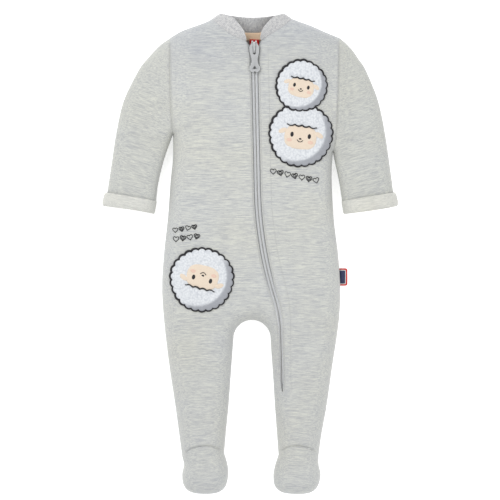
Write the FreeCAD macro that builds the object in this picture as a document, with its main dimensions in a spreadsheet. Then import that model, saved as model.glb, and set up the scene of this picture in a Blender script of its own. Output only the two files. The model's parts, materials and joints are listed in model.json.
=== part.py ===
"""Baby sleepsuit: a footed one-piece with long sleeves, turned-back cuffs, a band collar and a zip that
runs from the neck into the wearer's left leg. It lies on its back, softly filled, as it is laid out.

Frame: X to the wearer's left, Y to the head, Z up out of the front, millimetres.
The origin is on the surface under the suit, in the middle of its length and width box.
"Right" and "left" are the wearer's: right is -X and left is +X.
"""

import FreeCAD
import Part
import Sketcher
import math
import os

V = FreeCAD.Vector
doc = FreeCAD.newDocument("Sleepsuit")
sheet = doc.addObject("Spreadsheet::Sheet", "Dimensions")
nodes = []
RIGHT = -1
LEFT = 1
SIDE_NAMES = {RIGHT: "right", LEFT: "left"}
FAR = 800.0


# ---------------------------------------------------------------- driving dimensions

DIMENSIONS = [
    ("cloth", 2.0, "thickness of a body panel with its seam allowance"),
    ("torso_height", 42.0, "torso, surface to front, lying down"),
    ("leg_height", 38.0, "leg and foot, surface to front"),
    ("sleeve_height", 30.0, "sleeve, surface to front"),
    ("cuff_height", 33.0, "turned-back cuff, surface to front"),
    ("edge_round", 12.0, "rounding of the torso and leg edges"),
    ("sleeve_round", 9.0, "rounding of the sleeve edges"),
    ("play", 0.4, "gap between two pieces that move apart"),
    ("suit_length", 647.0, "foot to collar tip"),
    ("neck_x", 3.0, "middle of the neck"),
    ("neck_half", 51.5, "half the neck's width at the shoulder line"),
    ("neck_y", 639.0, "where the shoulder line meets the collar"),
    ("shoulder_x", 113.0, "shoulder tip"),
    ("shoulder_y", 610.5, "shoulder tip"),
    ("armpit_x", 107.5, "armpit"),
    ("armpit_y", 472.0, "armpit"),
    ("waist_half", 109.5, "half width at the waist"),
    ("hip_half", 119.5, "half width at the hips"),
    ("hip_y", 270.0, "widest place of the hips"),
    ("crotch_y", 233.5, "top of the gap between the legs"),
    ("crotch_radius", 25.0, "round of the gap between the legs"),
    ("ankle_y", 50.0, "fold line between leg and foot"),
    ("ankle_inner", 36.0, "inner side of the ankle"),
    ("ankle_outer", 92.0, "outer side of the ankle"),
    ("leg_pivot_x", 70.0, "middle of the thigh, where a leg bends"),
    ("leg_pivot_y", 190.0, "middle of the thigh"),
    ("leg_pivot_radius", 50.0, "round end of the leg at the thigh"),
    ("sleeve_pivot_x", 150.0, "middle of the upper sleeve, where it bends"),
    ("sleeve_pivot_y", 462.0, "middle of the upper sleeve"),
    ("sleeve_pivot_radius", 41.0, "round end of the moving sleeve"),
    ("cuff_outer_x", 195.0, "outer corner where the cuff begins"),
    ("cuff_outer_y", 404.5, "outer corner where the cuff begins"),
    ("cuff_inner_x", 127.0, "inner corner where the cuff begins"),
    ("cuff_inner_y", 392.5, "inner corner where the cuff begins"),
    ("cuff_length", 17.0, "depth of the turned-back cuff"),
    ("cuff_wall", 3.0, "two layers of cloth"),
    ("collar_rib", 3.0, "two layers of rib"),
    ("zip_top_x", 4.2, "zip at the neckline"),
    ("zip_top_y", 611.0, "zip at the neckline"),
    ("zip_tilt", 1.27, "lean of the straight part of the zip, degrees"),
    ("zip_straight", 202.0, "straight part of the zip"),
    ("zip_bend_angle", 17.0, "steepest lean of the zip, degrees"),
    ("zip_bend_radius", 536.0, "bend towards the left leg"),
    ("zip_return_radius", 189.0, "bend back down the leg"),
    ("zip_end_angle", 1.5, "lean of the zip in the leg, degrees"),
    ("zip_tail", 78.0, "straight end of the zip in the leg"),
    ("zip_gap_half", 5.7, "half the gap between the front panels"),
    ("tape_thickness", 0.6, "woven zip tape"),
    ("tape_width", 8.0, "one zip tape"),
    ("coil_inner", 0.45, "inner side of one nylon coil from the zip's middle"),
    ("coil_width", 2.5, "one nylon coil"),
    ("coil_height", 2.2, "nylon coil above its tape"),
    ("slider_length", 13.5, "slider body"),
    ("slider_half", 5.0, "half the slider's width"),
    ("slider_plate", 1.2, "thickness of a slider plate"),
    ("slider_top_y", -4.0, "upper end of the slider from the top of the zip"),
    ("pull_length", 37.0, "pull tab"),
    ("pull_thickness", 1.6, "pull tab"),
    ("lamb_small_radius", 33.5, "small lamb patch"),
    ("lamb_large_radius", 41.0, "large lamb patch"),
    ("lamb_hip_radius", 41.5, "lamb patch on the hip"),
    ("fleece_thickness", 1.8, "fleece of a patch"),
    ("label_width", 10.0, "side label, seam to fold"),
    ("label_height", 23.5, "side label along the seam"),
]


def fill_sheet():
    for row, (alias, size, note) in enumerate(DIMENSIONS, start=1):
        sheet.set(f"A{row}", note)
        sheet.set(f"B{row}", str(size))
        sheet.setAlias(f"B{row}", alias)
    doc.recompute()


def dim(alias):
    """A driving dimension, read from the sheet."""
    return float(sheet.get(alias))


def cell(alias):
    """The name of a driving dimension in an expression."""
    return f"Dimensions.{alias}"


# ---------------------------------------------------------------- small helpers


def spline(points):
    """A smooth curve through points in the plan."""
    curve = Part.BSplineCurve()
    curve.interpolate([V(x, y, 0) for x, y in points])
    return curve


def lines(points):
    """Straight lines from point to point in the plan."""
    return [Part.LineSegment(V(*a, 0), V(*b, 0)) for a, b in zip(points, points[1:])]


def mirrored(points):
    return [(-x, y) for x, y in points]


def plan(name, curves):
    """A sketch of a closed outline in the plan."""
    sketch = doc.addObject("Sketcher::SketchObject", name)
    sketch.addGeometry(curves, False)
    return sketch


def polygon(name, points):
    return plan(name, lines(points + points[:1]))


def prism(name, sketch, bottom, height):
    """The outline raised from bottom over height; both are expressions."""
    solid = doc.addObject("Part::Extrusion", name)
    solid.Base = sketch
    solid.DirMode = "Custom"
    solid.Dir = V(0, 0, 1)
    solid.Solid = True
    solid.setExpression("LengthFwd", height)
    solid.setExpression("Placement.Base.z", bottom)
    return solid


def box(name, low, high):
    """A box between two corners."""
    solid = doc.addObject("Part::Box", name)
    solid.Length, solid.Width, solid.Height = (b - a for a, b in zip(low, high))
    solid.Placement.Base = V(*low)
    return solid


def post(name, x, y, radius, height="2 * 100"):
    """An upright cylinder that starts below the suit; all are expressions."""
    solid = doc.addObject("Part::Cylinder", name)
    solid.setExpression("Placement.Base.x", x)
    solid.setExpression("Placement.Base.y", y)
    solid.Placement.Base.z = -10
    solid.setExpression("Radius", radius)
    solid.setExpression("Height", height)
    return solid


def combine(kind, name, first, second):
    result = doc.addObject(kind, name)
    result.Base = first
    result.Tool = second
    return result


def cut(name, first, second):
    return combine("Part::Cut", name, first, second)


def common(name, first, second):
    return combine("Part::Common", name, first, second)


def fuse(name, *solids):
    result = doc.addObject("Part::MultiFuse", name)
    result.Shapes = list(solids)
    return result


def refitted(edge):
    """An offset edge as a plain curve that every exchange file can hold."""
    if edge.Curve.TypeId != "Part::GeomOffsetCurve":
        return edge
    curve = Part.BSplineCurve()
    curve.interpolate(edge.discretize(10))
    return curve.toShape()


def inset(name, sketch, amount):
    """The outline moved inwards; amount is in millimetres."""
    doc.recompute()
    moved = sketch.Shape.Wires[0].makeOffset2D(-amount, 0, False, False, False)
    result = doc.addObject("Part::Feature", name)
    result.Shape = Part.Wire(Part.__sortEdges__([refitted(edge) for edge in moved.Edges]))
    return result


def at_height(shape, height):
    """The numbers of the curved edges that lie in a level plane."""
    return [
        number
        for number, edge in enumerate(shape.Edges, start=1)
        if all(abs(vertex.Z - height) < 1e-6 for vertex in edge.Vertexes)
        and edge.Curve.TypeId != "Part::GeomLine"
    ]


def rounded(name, solid, heights, radius):
    """The solid with its curved level edges at these heights rounded."""
    doc.recompute()
    result = doc.addObject("Part::Fillet", name)
    result.Base = solid
    result.Edges = [(n, radius, radius) for z in heights for n in at_height(solid.Shape, z)]
    doc.recompute()
    return result


def node(solid, label):
    """Names a finished sub-part."""
    solid.Label = label
    nodes.append(solid)
    return solid


# ---------------------------------------------------------------- outlines


def trunk_side():
    """The outer side from armpit to ankle, on the left."""
    return [
        (dim("armpit_x"), dim("armpit_y")),
        (dim("waist_half"), 400),
        (dim("hip_half") - 1.5, dim("hip_y") + 40),
        (dim("hip_half"), dim("hip_y")),
        (dim("hip_half") - 7.5, 190),
        (102.5, 125),
        (dim("ankle_outer"), dim("ankle_y")),
    ]


def inner_leg():
    """The inner side from ankle to the gap's round, on the left."""
    return [
        (dim("ankle_inner"), dim("ankle_y")),
        (33, 100),
        (29, 150),
        (dim("crotch_radius"), dim("crotch_y") - dim("crotch_radius")),
    ]


def trunk_outline():
    """Torso and legs down to the ankles, with a straight edge across the neck."""
    shoulder = (dim("shoulder_x"), dim("shoulder_y"))
    armpit = (dim("armpit_x"), dim("armpit_y"))
    neck_right = (dim("neck_x") - dim("neck_half"), dim("neck_y"))
    neck_left = (dim("neck_x") + dim("neck_half"), dim("neck_y"))
    side = trunk_side()
    inner = inner_leg()
    crotch = Part.Circle(V(0, inner[-1][1], 0), V(0, 0, 1), dim("crotch_radius"))
    curves = lines([mirrored([shoulder])[0], neck_right, neck_left, shoulder, armpit])
    curves.append(spline(side))
    curves += lines([side[-1], inner[0]])
    curves.append(spline(inner))
    curves.append(Part.ArcOfCircle(crotch, 0, math.pi))
    curves.append(spline(mirrored(inner[::-1])))
    curves += lines(mirrored([inner[0], side[-1]]))
    curves.append(spline(mirrored(side[::-1])))
    curves += lines(mirrored([armpit, shoulder]))
    return plan("TrunkOutline", curves)


def sleeve_outline(side):
    """A whole sleeve in the plan, from the armhole seam to where the cuff begins."""
    gap = dim("play")
    outer = [
        (dim("shoulder_x") + gap, dim("shoulder_y") - gap),
        (142, 587),
        (166, 543),
        (181, 485),
        (dim("cuff_outer_x") - 2.5, dim("cuff_outer_y")),
    ]
    inner = (dim("cuff_inner_x") + 2.5, dim("cuff_inner_y"))
    armpit = (dim("armpit_x") + gap, dim("armpit_y"))
    rest = [outer[-1], inner, armpit, outer[0]]
    if side == RIGHT:
        outer, rest = mirrored(outer), mirrored(rest)
    return plan(f"{SIDE_NAMES[side].title()}SleeveOutline", [spline(outer), *lines(rest)])


def foot_outline(side):
    """A foot in the plan, below the ankle's fold line."""
    top = dim("ankle_y") - dim("play") / 2
    shape = [
        (dim("ankle_inner") - 0.5, top),
        (31, 28),
        (33, 11),
        (46, 1.2),
        (62, 0),
        (78, 1.2),
        (90.5, 11),
        (93, 28),
        (dim("ankle_outer") - 0.4, top),
    ]
    if side == RIGHT:
        shape = mirrored(shape)
    return plan(f"{SIDE_NAMES[side].title()}FootOutline", [spline(shape), *lines([shape[-1], shape[0]])])


# ---------------------------------------------------------------- hollow shells


def stepped_room(name, outline, height):
    """The space inside a small rounded bag: a wide level and a tall level."""
    wide = prism(name + "Wide", inset(name + "WideInset", outline, dim("cloth")), "9", f"{cell(height)} - 18")
    tall = prism(
        name + "Tall",
        inset(name + "TallInset", outline, dim("cloth") + 6),
        cell("cloth"),
        f"{cell(height)} - 2 * {cell('cloth')}",
    )
    return fuse(name, wide, tall)


def hollow(name, outline, height, edge_round, room_round):
    """A closed bag of cloth over an outline: level back, level front and rounded edges."""
    tall = dim(height)
    cloth = dim("cloth")
    bag = rounded(name + "Round", prism(name + "Bag", outline, "0", cell(height)), (0, tall), edge_round)
    room = prism(
        name + "Room",
        inset(name + "Inset", outline, cloth),
        cell("cloth"),
        f"{cell(height)} - 2 * {cell('cloth')}",
    )
    room = rounded(name + "RoomRound", room, (cloth, tall - cloth), room_round)
    return bag, room


def front_half(name, solid, height):
    """What lies above the side seams."""
    middle = dim(height) / 2
    return common(name, solid, box(name + "Zone", (-FAR, -FAR, middle), (FAR, FAR, FAR)))


def back_half(name, solid, height):
    """What lies below the side seams."""
    middle = dim(height) / 2
    return common(name, solid, box(name + "Zone", (-FAR, -FAR, -FAR), (FAR, FAR, middle)))


def bend_zone(name, x, y, radius, below):
    """A round end about an upright axis and everything on its far side."""
    round_end = post(name + "Round", x, y, radius)
    return fuse(name, round_end, below)


# ---------------------------------------------------------------- zip path


def zip_run(offset):
    """The zip's line, moved sideways by offset towards +X, from the neck to its end."""
    start_angle, bend_angle, end_angle = (
        math.radians(dim(a)) for a in ("zip_tilt", "zip_bend_angle", "zip_end_angle")
    )

    def along(angle):
        return V(math.sin(angle), -math.cos(angle), 0)

    def aside(angle):
        return V(math.cos(angle), math.sin(angle), 0)

    def arc(centre, radius, first, last):
        """Three points of an arc; radius is negative for a centre on the -X side."""
        middle = (first + last) / 2
        a, b, c = (centre - aside(t) * radius for t in (first, middle, last))
        return Part.Arc(a, b, c)

    top = V(dim("zip_top_x"), dim("zip_top_y"), 0)
    bend = top + along(start_angle) * dim("zip_straight")
    outward = dim("zip_bend_radius")
    back = dim("zip_return_radius")
    first_centre = bend + aside(start_angle) * outward
    turn = first_centre - aside(bend_angle) * outward
    second_centre = turn - aside(bend_angle) * back
    tail = second_centre + aside(end_angle) * back
    end = tail + along(end_angle) * dim("zip_tail")
    return [
        Part.LineSegment(top + aside(start_angle) * offset, bend + aside(start_angle) * offset),
        arc(first_centre, outward - offset, start_angle, bend_angle),
        arc(second_centre, -(back + offset), bend_angle, end_angle),
        Part.LineSegment(tail + aside(end_angle) * offset, end + aside(end_angle) * offset),
    ]


def zip_band(name, low, high):
    """The strip between two offsets of the zip's line."""
    first, second = zip_run(low), zip_run(high)
    ends = [
        Part.LineSegment(first[-1].EndPoint, second[-1].EndPoint),
        Part.LineSegment(second[0].StartPoint, first[0].StartPoint),
    ]
    return plan(name, [*first, ends[0], *second, ends[1]])


def zip_half_plane(name, side):
    """All that lies on one side of the gap between the front panels."""
    edge = zip_run(side * dim("zip_gap_half"))
    top, end = edge[0].StartPoint, edge[-1].EndPoint
    far = side * FAR
    corners = [(end.x, end.y), (end.x, -FAR), (far, -FAR), (far, FAR), (top.x, FAR), (top.x, top.y)]
    return plan(name, [*edge, *lines(corners)])


# ---------------------------------------------------------------- neck


def front_neckline():
    """The seam under the front of the collar, from the right shoulder to the left."""
    middle, half = dim("neck_x"), dim("neck_half")
    right = [(-half, dim("neck_y")), (-39.5, 626.5), (-25, 617), (-9.5, 611)]
    return [(middle + x, y) for x, y in right] + [(middle - x, y) for x, y in right[::-1]]


def back_neckline():
    """The seam under the back of the collar, an arc from shoulder to shoulder."""
    middle, half, top = dim("neck_x"), dim("neck_half"), dim("neck_y")
    return Part.Arc(V(middle - half, top, 0), V(middle, top - 18, 0), V(middle + half, top, 0))


def above(name, curve):
    """The zone from a curve that runs from right to left up to far above the suit."""
    a, b = curve.StartPoint, curve.EndPoint
    corners = [(b.x, b.y), (FAR, b.y), (FAR, FAR), (-FAR, FAR), (-FAR, a.y), (a.x, a.y)]
    return plan(name, [curve, *lines(corners)])


def make_collar():
    """A band of rib: two front ends that part over the zip, joined round the back of the neck."""
    middle = dim("neck_x")
    rib, low, high = dim("collar_rib"), 3.0, dim("torso_height")
    tip_y = dim("suit_length")
    tips = [(middle - 40.5, tip_y), (middle + 40.5, tip_y)]
    bases = [(middle - dim("neck_half"), dim("neck_y")), (middle + dim("neck_half"), dim("neck_y"))]
    back_edge = Part.Arc(V(*tips[0], 0), V(middle, tip_y - 6, 0), V(*tips[1], 0))
    outline = plan(
        "CollarOutline",
        [*lines([bases[0], tips[0]]), back_edge, *lines([tips[1], bases[1]]), spline(front_neckline()[::-1])],
    )
    band = prism("CollarBand", outline, str(low), str(high - low))
    inner = [(-46.5, 560), (-46.5, 638), (-37, 645), (-37, 700), (37, 700), (37, 645), (46.5, 638), (46.5, 560)]
    room = prism(
        "CollarRoom",
        polygon("CollarRoomPlan", [(middle + x, y) for x, y in inner]),
        str(low + rib),
        str(high - low - 2 * rib),
    )
    right_lip = [(-39, 655), (-27, 641), (-13, 624), (-10.5, 612), (-10.5, 560)]
    opening = [(middle + x, y) for x, y in right_lip] + [(middle - x, y) for x, y in right_lip[::-1]]
    split = prism(
        "CollarOpening",
        plan("CollarOpeningPlan", [spline(opening[:5]), *lines(opening[4:6]), spline(opening[5:]),
                                   *lines([opening[-1], opening[0]])]),
        str(high - rib - 1),
        "20",
    )
    curve = back_neckline()
    a, b = curve.StartPoint, curve.EndPoint
    below = plan("CollarBelowPlan", [curve, *lines([(b.x, b.y), (b.x, 500), (a.x, 500), (a.x, a.y)])])
    shell = cut("CollarHollow", band, room)
    shell = cut("CollarFrontOpen", shell, split)
    return node(cut("CollarShape", shell, prism("CollarBelow", below, "-1", str(high / 2 + 1))), "collar_band")


def make_neck_pieces():
    """The facing strip and the woven label inside the back of the neck."""
    middle, half, top = dim("neck_x"), 40.0, dim("neck_y") - 8
    upper = Part.Arc(V(middle - half, top, 0), V(middle, top - 10.4, 0), V(middle + half, top, 0))
    lower = Part.Arc(V(middle + half, top - 12, 0), V(middle, top - 22.4, 0), V(middle - half, top - 12, 0))
    ends = lines([(middle + half, top), (middle + half, top - 12)])
    ends += lines([(middle - half, top - 12), (middle - half, top)])
    facing = plan("FacingPlan", [upper, ends[0], lower, ends[1]])
    node(prism("Facing", facing, f"{cell('cloth')} + 0.2", "0.7"), "neck_facing")
    node(box("NeckLabel", (-2.2, 588, 3.2), (11.2, 608, 3.6)), "neck_label")
    node(box("CareLabel", (66, 300, 2.3), (94, 345, 2.8)), "care_label")


# ---------------------------------------------------------------- body, legs and feet


def make_trunk():
    """Torso panels, legs and the cut lines between them."""
    outline = trunk_outline()
    torso, torso_room = hollow("Torso", outline, "torso_height", dim("edge_round"), 10)
    leg, leg_room = hollow("Leg", outline, "leg_height", dim("edge_round"), 10)
    middle, half = dim("neck_x"), dim("neck_half") - 3
    neck_way = box("NeckWay", (middle - half, 600, 2), (middle + half, 660, dim("torso_height") - 2))
    way_low, way_high = 4, dim("sleeve_height") - 4
    arm_ways = [
        box(f"ArmWay{n}", (min(s * 95, s * 118), 482, way_low), (max(s * 95, s * 118), 600, way_high))
        for n, s in enumerate((RIGHT, LEFT))
    ]
    room = fuse("TorsoSpace", torso_room, neck_way, *arm_ways)
    shell = cut("TorsoShell", torso, room)
    torso_legs = {}
    for side, name in SIDE_NAMES.items():
        title = name.title()
        x, y = f"{side} * {cell('leg_pivot_x')}", cell("leg_pivot_y")
        low, high = sorted((0, side * FAR))
        floor = dim("leg_pivot_y")
        grown = bend_zone(
            f"{title}LegGap", x, y, f"{cell('leg_pivot_radius')} + {cell('play')}",
            box(f"{title}LegGapBelow", (low, -FAR, -FAR), (high, floor, FAR)),
        )
        own = bend_zone(
            f"{title}LegZone", x, y, cell("leg_pivot_radius"),
            box(f"{title}LegBelow", (low, -FAR, -FAR), (high, floor, FAR)),
        )
        shell = cut(f"TorsoWithout{title}Leg", shell, grown)
        torso_legs[side] = (own, grown)
    ankle_room = [
        box(f"AnkleWay{n}", (min(s * 40, s * 88), 40, 4), (max(s * 40, s * 88), 60, dim("leg_height") - 4))
        for n, s in enumerate((RIGHT, LEFT))
    ]
    leg_shell = cut("LegShell", leg, fuse("LegSpace", leg_room, *ankle_room))
    leg_shell = cut("LegShellFootless", leg_shell,
                    box("AnkleTrim", (-FAR, -FAR, -FAR), (FAR, dim("ankle_y") + dim("play") / 2, FAR)))
    return shell, leg_shell, leg_room, torso_legs


def make_torso_panels(shell):
    neck = above("FrontNeckZone", spline(front_neckline()))
    front = front_half("TorsoFront", shell, "torso_height")
    front = cut("TorsoFrontNeck", front, prism("FrontNeckCut", neck, "0", "100"))
    for side, name in SIDE_NAMES.items():
        zone = prism(f"{name.title()}FrontZone", zip_half_plane(f"{name.title()}ZipSide", side), "0", "100")
        node(common(f"{name.title()}Front", front, zone), f"front_{name}_panel")
    back = back_half("TorsoBack", shell, "torso_height")
    neck = above("BackNeckZone", back_neckline())
    node(cut("Back", back, prism("BackNeckCut", neck, "-1", "100")), "back_panel")


def make_legs(leg_shell, zones):
    slot = prism("LegSlot", zip_band("LegSlotPlan", -dim("zip_gap_half"), dim("zip_gap_half")), "20", "100")
    for side, name in SIDE_NAMES.items():
        title = name.title()
        leg = common(f"{title}Leg", leg_shell, zones[side][0])
        front = front_half(f"{title}LegFront", leg, "leg_height")
        if side == LEFT:
            front = cut("LeftLegFrontSlot", front, slot)
        node(front, f"{name}_leg_front")
        node(back_half(f"{title}LegBack", leg, "leg_height"), f"{name}_leg_back")
    return front


def make_feet():
    """Each foot is an upper and a sole, sewn together round the edge and open to the leg."""
    for side, name in SIDE_NAMES.items():
        title = name.title()
        outline = foot_outline(side)
        tall = dim("leg_height")
        block = prism(f"{title}FootBag", outline, "0", cell("leg_height"))
        foot = rounded(f"{title}FootRound", block, (0, tall), dim("edge_round"))
        room = stepped_room(f"{title}FootRoom", outline, "leg_height")
        low, high = sorted((side * 40, side * 88))
        way = box(f"{title}FootWay", (low, 30, 4), (high, 60, dim("leg_height") - 4))
        shell = cut(f"{title}FootShell", foot, fuse(f"{title}FootSpace", room, way))
        node(front_half(f"{title}FootUpper", shell, "leg_height"), f"{name}_foot_upper")
        node(back_half(f"{title}FootSole", shell, "leg_height"), f"{name}_foot_sole")


# ---------------------------------------------------------------- sleeves


def cuff_directions(side):
    """The cuff's middle, its direction across and its direction down the arm."""
    outer = V(side * dim("cuff_outer_x"), dim("cuff_outer_y"), 0)
    inner = V(side * dim("cuff_inner_x"), dim("cuff_inner_y"), 0)
    across = outer - inner
    width = across.Length
    across = across / width
    down = V(across.y, -across.x, 0) * side
    return (outer + inner) / 2, across, down, width


def make_cuff(side):
    """A flattened ring of folded cloth, made level and then turned in line with the sleeve."""
    name = SIDE_NAMES[side].title()
    middle, across, down, width = cuff_directions(side)
    gap, wall, height = dim("play"), dim("cuff_wall"), dim("cuff_height")

    def block(label, grow, reach):
        sketch = plan(
            label + "Plan",
            lines([(-width / 2 + grow, grow), (width / 2 - grow, grow), (width / 2 - grow, height - grow),
                   (-width / 2 + grow, height - grow), (-width / 2 + grow, grow)]),
        )
        solid = doc.addObject("Part::Extrusion", label)
        solid.Base = sketch
        solid.DirMode = "Custom"
        solid.Dir = V(0, 0, -1)
        solid.Solid = True
        solid.LengthFwd = dim("cuff_length") + 2 * reach
        solid.Placement.Base.z = reach
        doc.recompute()
        long_edges = [
            n for n, e in enumerate(solid.Shape.Edges, start=1)
            if abs(e.Vertexes[0].Z - e.Vertexes[-1].Z) > 1
        ]
        result = doc.addObject("Part::Fillet", label + "Round")
        result.Base = solid
        result.Edges = [(n, 13 - grow, 13 - grow) for n in long_edges]
        return result

    ring = cut(f"{name}CuffShape", block(f"{name}CuffBlock", 0, 0), block(f"{name}CuffRoom", wall, 5))
    start = middle + down * gap
    side_way = V(0, 0, 1).cross(-down)
    turn = FreeCAD.Rotation(side_way, V(0, 0, 1), -down, "ZYX")
    ring.Placement = FreeCAD.Placement(start, turn)
    return node(ring, f"{SIDE_NAMES[side]}_cuff")


def make_sleeve(side):
    """The head of the sleeve stays with the torso; the rest bends about the upper arm."""
    name = SIDE_NAMES[side]
    title = name.title()
    bag, room = hollow(f"{title}Sleeve", sleeve_outline(side), "sleeve_height", dim("sleeve_round"), 7)
    low, high = sorted((side * 100, side * 125))
    arm_way = box(f"{title}SleeveArmWay", (low, 482, 4), (high, 594, dim("sleeve_height") - 4))
    middle, across, down, width = cuff_directions(side)
    half = width / 2 - 7
    corners = [middle + across * half - down * 10, middle + across * half + down * 10,
               middle - across * half + down * 10, middle - across * half - down * 10]
    hand_way = prism(
        f"{title}HandWay",
        polygon(f"{title}HandWayPlan", [(c.x, c.y) for c in corners]),
        "4", f"{cell('sleeve_height')} - 8",
    )
    shell = cut(f"{title}SleeveShell", bag, fuse(f"{title}SleeveSpace", room, arm_way, hand_way))
    x, y = f"{side} * {cell('sleeve_pivot_x')}", cell("sleeve_pivot_y")
    pivot = V(side * dim("sleeve_pivot_x"), dim("sleeve_pivot_y"), 0)
    reach = [pivot - across * 200, pivot + across * 200]
    reach += [reach[1] + down * 300, reach[0] + down * 300]

    def zone(label, radius):
        beyond = prism(label + "Beyond", polygon(label + "Plan", [(p.x, p.y) for p in reach]), "-10", "200")
        return bend_zone(label, x, y, radius, beyond)

    own = zone(f"{title}SleeveZone", cell("sleeve_pivot_radius"))
    grown = zone(f"{title}SleeveGap", f"{cell('sleeve_pivot_radius')} + {cell('play')}")
    node(cut(f"{title}SleeveHead", shell, grown), f"{name}_sleeve_head")
    node(common(f"{title}SleeveLower", shell, own), f"{name}_sleeve")


# ---------------------------------------------------------------- zip


def make_zip_strips(zones, leg_room, leg_front, stops):
    """Tapes, coils and the guard behind them, each cut where the left leg bends."""
    own, grown = zones[LEFT]
    coil_low, coil_high = dim("coil_inner"), dim("coil_inner") + dim("coil_width")
    tape_low, tape_high = 1.2, 1.2 + dim("tape_width")
    narrow = -dim("zip_gap_half") - 0.6
    coil, tape = dim("coil_height"), dim("tape_thickness")
    strips = [
        ("zip_tape_right", -tape_high, narrow, -tape_low, -coil - tape, tape),
        ("zip_tape_left", tape_low, tape_low, tape_high, -coil - tape, tape),
        ("zip_coil_right", -coil_high, -coil_high, -coil_low, -coil, coil),
        ("zip_coil_left", coil_low, coil_low, coil_high, -coil, coil),
        ("zip_guard", -10.0, -10.0, 17.0, -7.5, 1.8),
    ]
    for label, low, leg_low, high, drop, height in strips:
        part_name = label.title().replace("_", "")
        band = zip_band(part_name + "Plan", low, high)
        leg_band = band if leg_low == low else zip_band(part_name + "LegPlan", leg_low, high)
        upper = prism(part_name + "Upper", band, f"{cell('torso_height')} + {drop}", str(height))
        lower = prism(part_name + "Lower", leg_band, f"{cell('leg_height')} + {drop}", str(height))
        above_bend = cut(part_name + "Torso", upper, grown)
        if "coil" in label:
            above_bend = cut(part_name + "Crimped", above_bend, stops)
        node(above_bend, f"{label}_torso")
        inside = common(part_name + "LegInside", lower, own)
        if label == "zip_guard":
            inside = common(part_name + "Leg", inside, leg_room)
        if label == "zip_tape_right":
            inside = cut(part_name + "Leg", inside, leg_front)
        node(inside, f"{label}_leg")


def zip_placement(down, height):
    """A place on the straight part of the zip: down along it and height above the torso's front."""
    angle = math.radians(dim("zip_tilt"))
    top = V(dim("zip_top_x"), dim("zip_top_y"), dim("torso_height"))
    at = top + V(math.sin(angle), -math.cos(angle), 0) * down + V(0, 0, height)
    return FreeCAD.Placement(at, FreeCAD.Rotation(V(0, 0, 1), dim("zip_tilt")))


def make_stops():
    """Two crimped top stops, and the bottom stop across both coils."""
    pair = [box(f"TopStop{n}", (min(s * 1.3, s * 3.6), -1.6, -2.2), (max(s * 1.3, s * 3.6), 1.0, 0.6))
            for n, s in enumerate((RIGHT, LEFT))]
    stops = doc.addObject("Part::Compound", "TopStops")
    stops.Links = pair
    stops.Placement = zip_placement(2.2, 0)
    node(stops, "zip_top_stops")
    end = zip_run(0)[-1].EndPoint
    stop = box("BottomStop", (-3.4, 0, 0), (3.4, 3, 0.9))
    stop.Placement = FreeCAD.Placement(V(end.x, end.y, dim("leg_height")), FreeCAD.Rotation())
    node(stop, "zip_bottom_stop")
    return stops


def bound_sketch(body, name, plane="XY_Plane"):
    """A sketch on one of a body's own planes."""
    sketch = body.newObject("Sketcher::SketchObject", name)
    support = next(f for f in body.Origin.OriginFeatures if f.Role == plane)
    sketch.AttachmentSupport = [(support, "")]
    sketch.MapMode = "FlatFace"
    return sketch


def make_slider_body():
    """Two waisted plates with side flanges, joined by the thin post between the coils."""
    length, half, plate = dim("slider_length"), dim("slider_half"), dim("slider_plate")
    wide = [(half * 0.72, 0), (half, -length * 0.32), (half * 0.94, -length * 0.6), (half * 0.8, -length)]
    outline = plan("SliderPlan", [*lines([(-wide[0][0], 0), (wide[0][0], 0)]), spline(wide),
                                  *lines([wide[-1], (-wide[-1][0], wide[-1][1])]),
                                  spline(mirrored(wide[::-1]))])
    top = prism("SliderTop", outline, "0.25", cell("slider_plate"))
    bottom = prism("SliderBottom", outline, "-4.7", cell("slider_plate"))
    channel = box("SliderChannel", (-3.35, -length - 1, -9), (3.35, 1, 9))
    flange_top = cut("SliderFlangeTop", prism("SliderFlangeUpper", outline, "-1.5", "1.8"), channel)
    flange_low = cut("SliderFlangeLow", prism("SliderFlangeLower", outline, "-3.6", "0.4"), channel)
    divider = box("SliderPost", (-0.35, -3.2, -4.7 + plate / 2), (0.35, -0.6, 0.25 + plate / 2))
    body = fuse("SliderFused", top, bottom, flange_top, flange_low, divider)
    doc.recompute()
    body.Placement = zip_placement(-dim("slider_top_y"), 0)
    return node(body, "slider_body")


def make_slider_crown():
    """The arch over the slider that holds the pull tab: a pad profile seen from the side."""
    crown = doc.addObject("PartDesign::Body", "Crown")
    sketch = bound_sketch(crown, "CrownProfile", "YZ_Plane")
    foot = 0.25 + dim("slider_plate")
    outer = [(1.0, foot), (1.0, 4.6), (-0.6, 6.6), (-8.4, 6.6), (-11.4, 4.2), (-11.4, foot)]
    inner = [(-9.4, foot), (-9.4, 4.0), (-8.0, 5.1), (-1.2, 5.1), (-0.8, 4.4), (-0.8, foot)]
    sketch.addGeometry(lines(outer + inner + outer[:1]), False)
    pad = crown.newObject("PartDesign::Pad", "CrownPad")
    pad.Profile = sketch
    pad.Length = 2.6
    pad.Midplane = True
    doc.recompute()
    crown.Placement = zip_placement(-dim("slider_top_y"), 0)
    return node(crown, "slider_crown")


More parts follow.
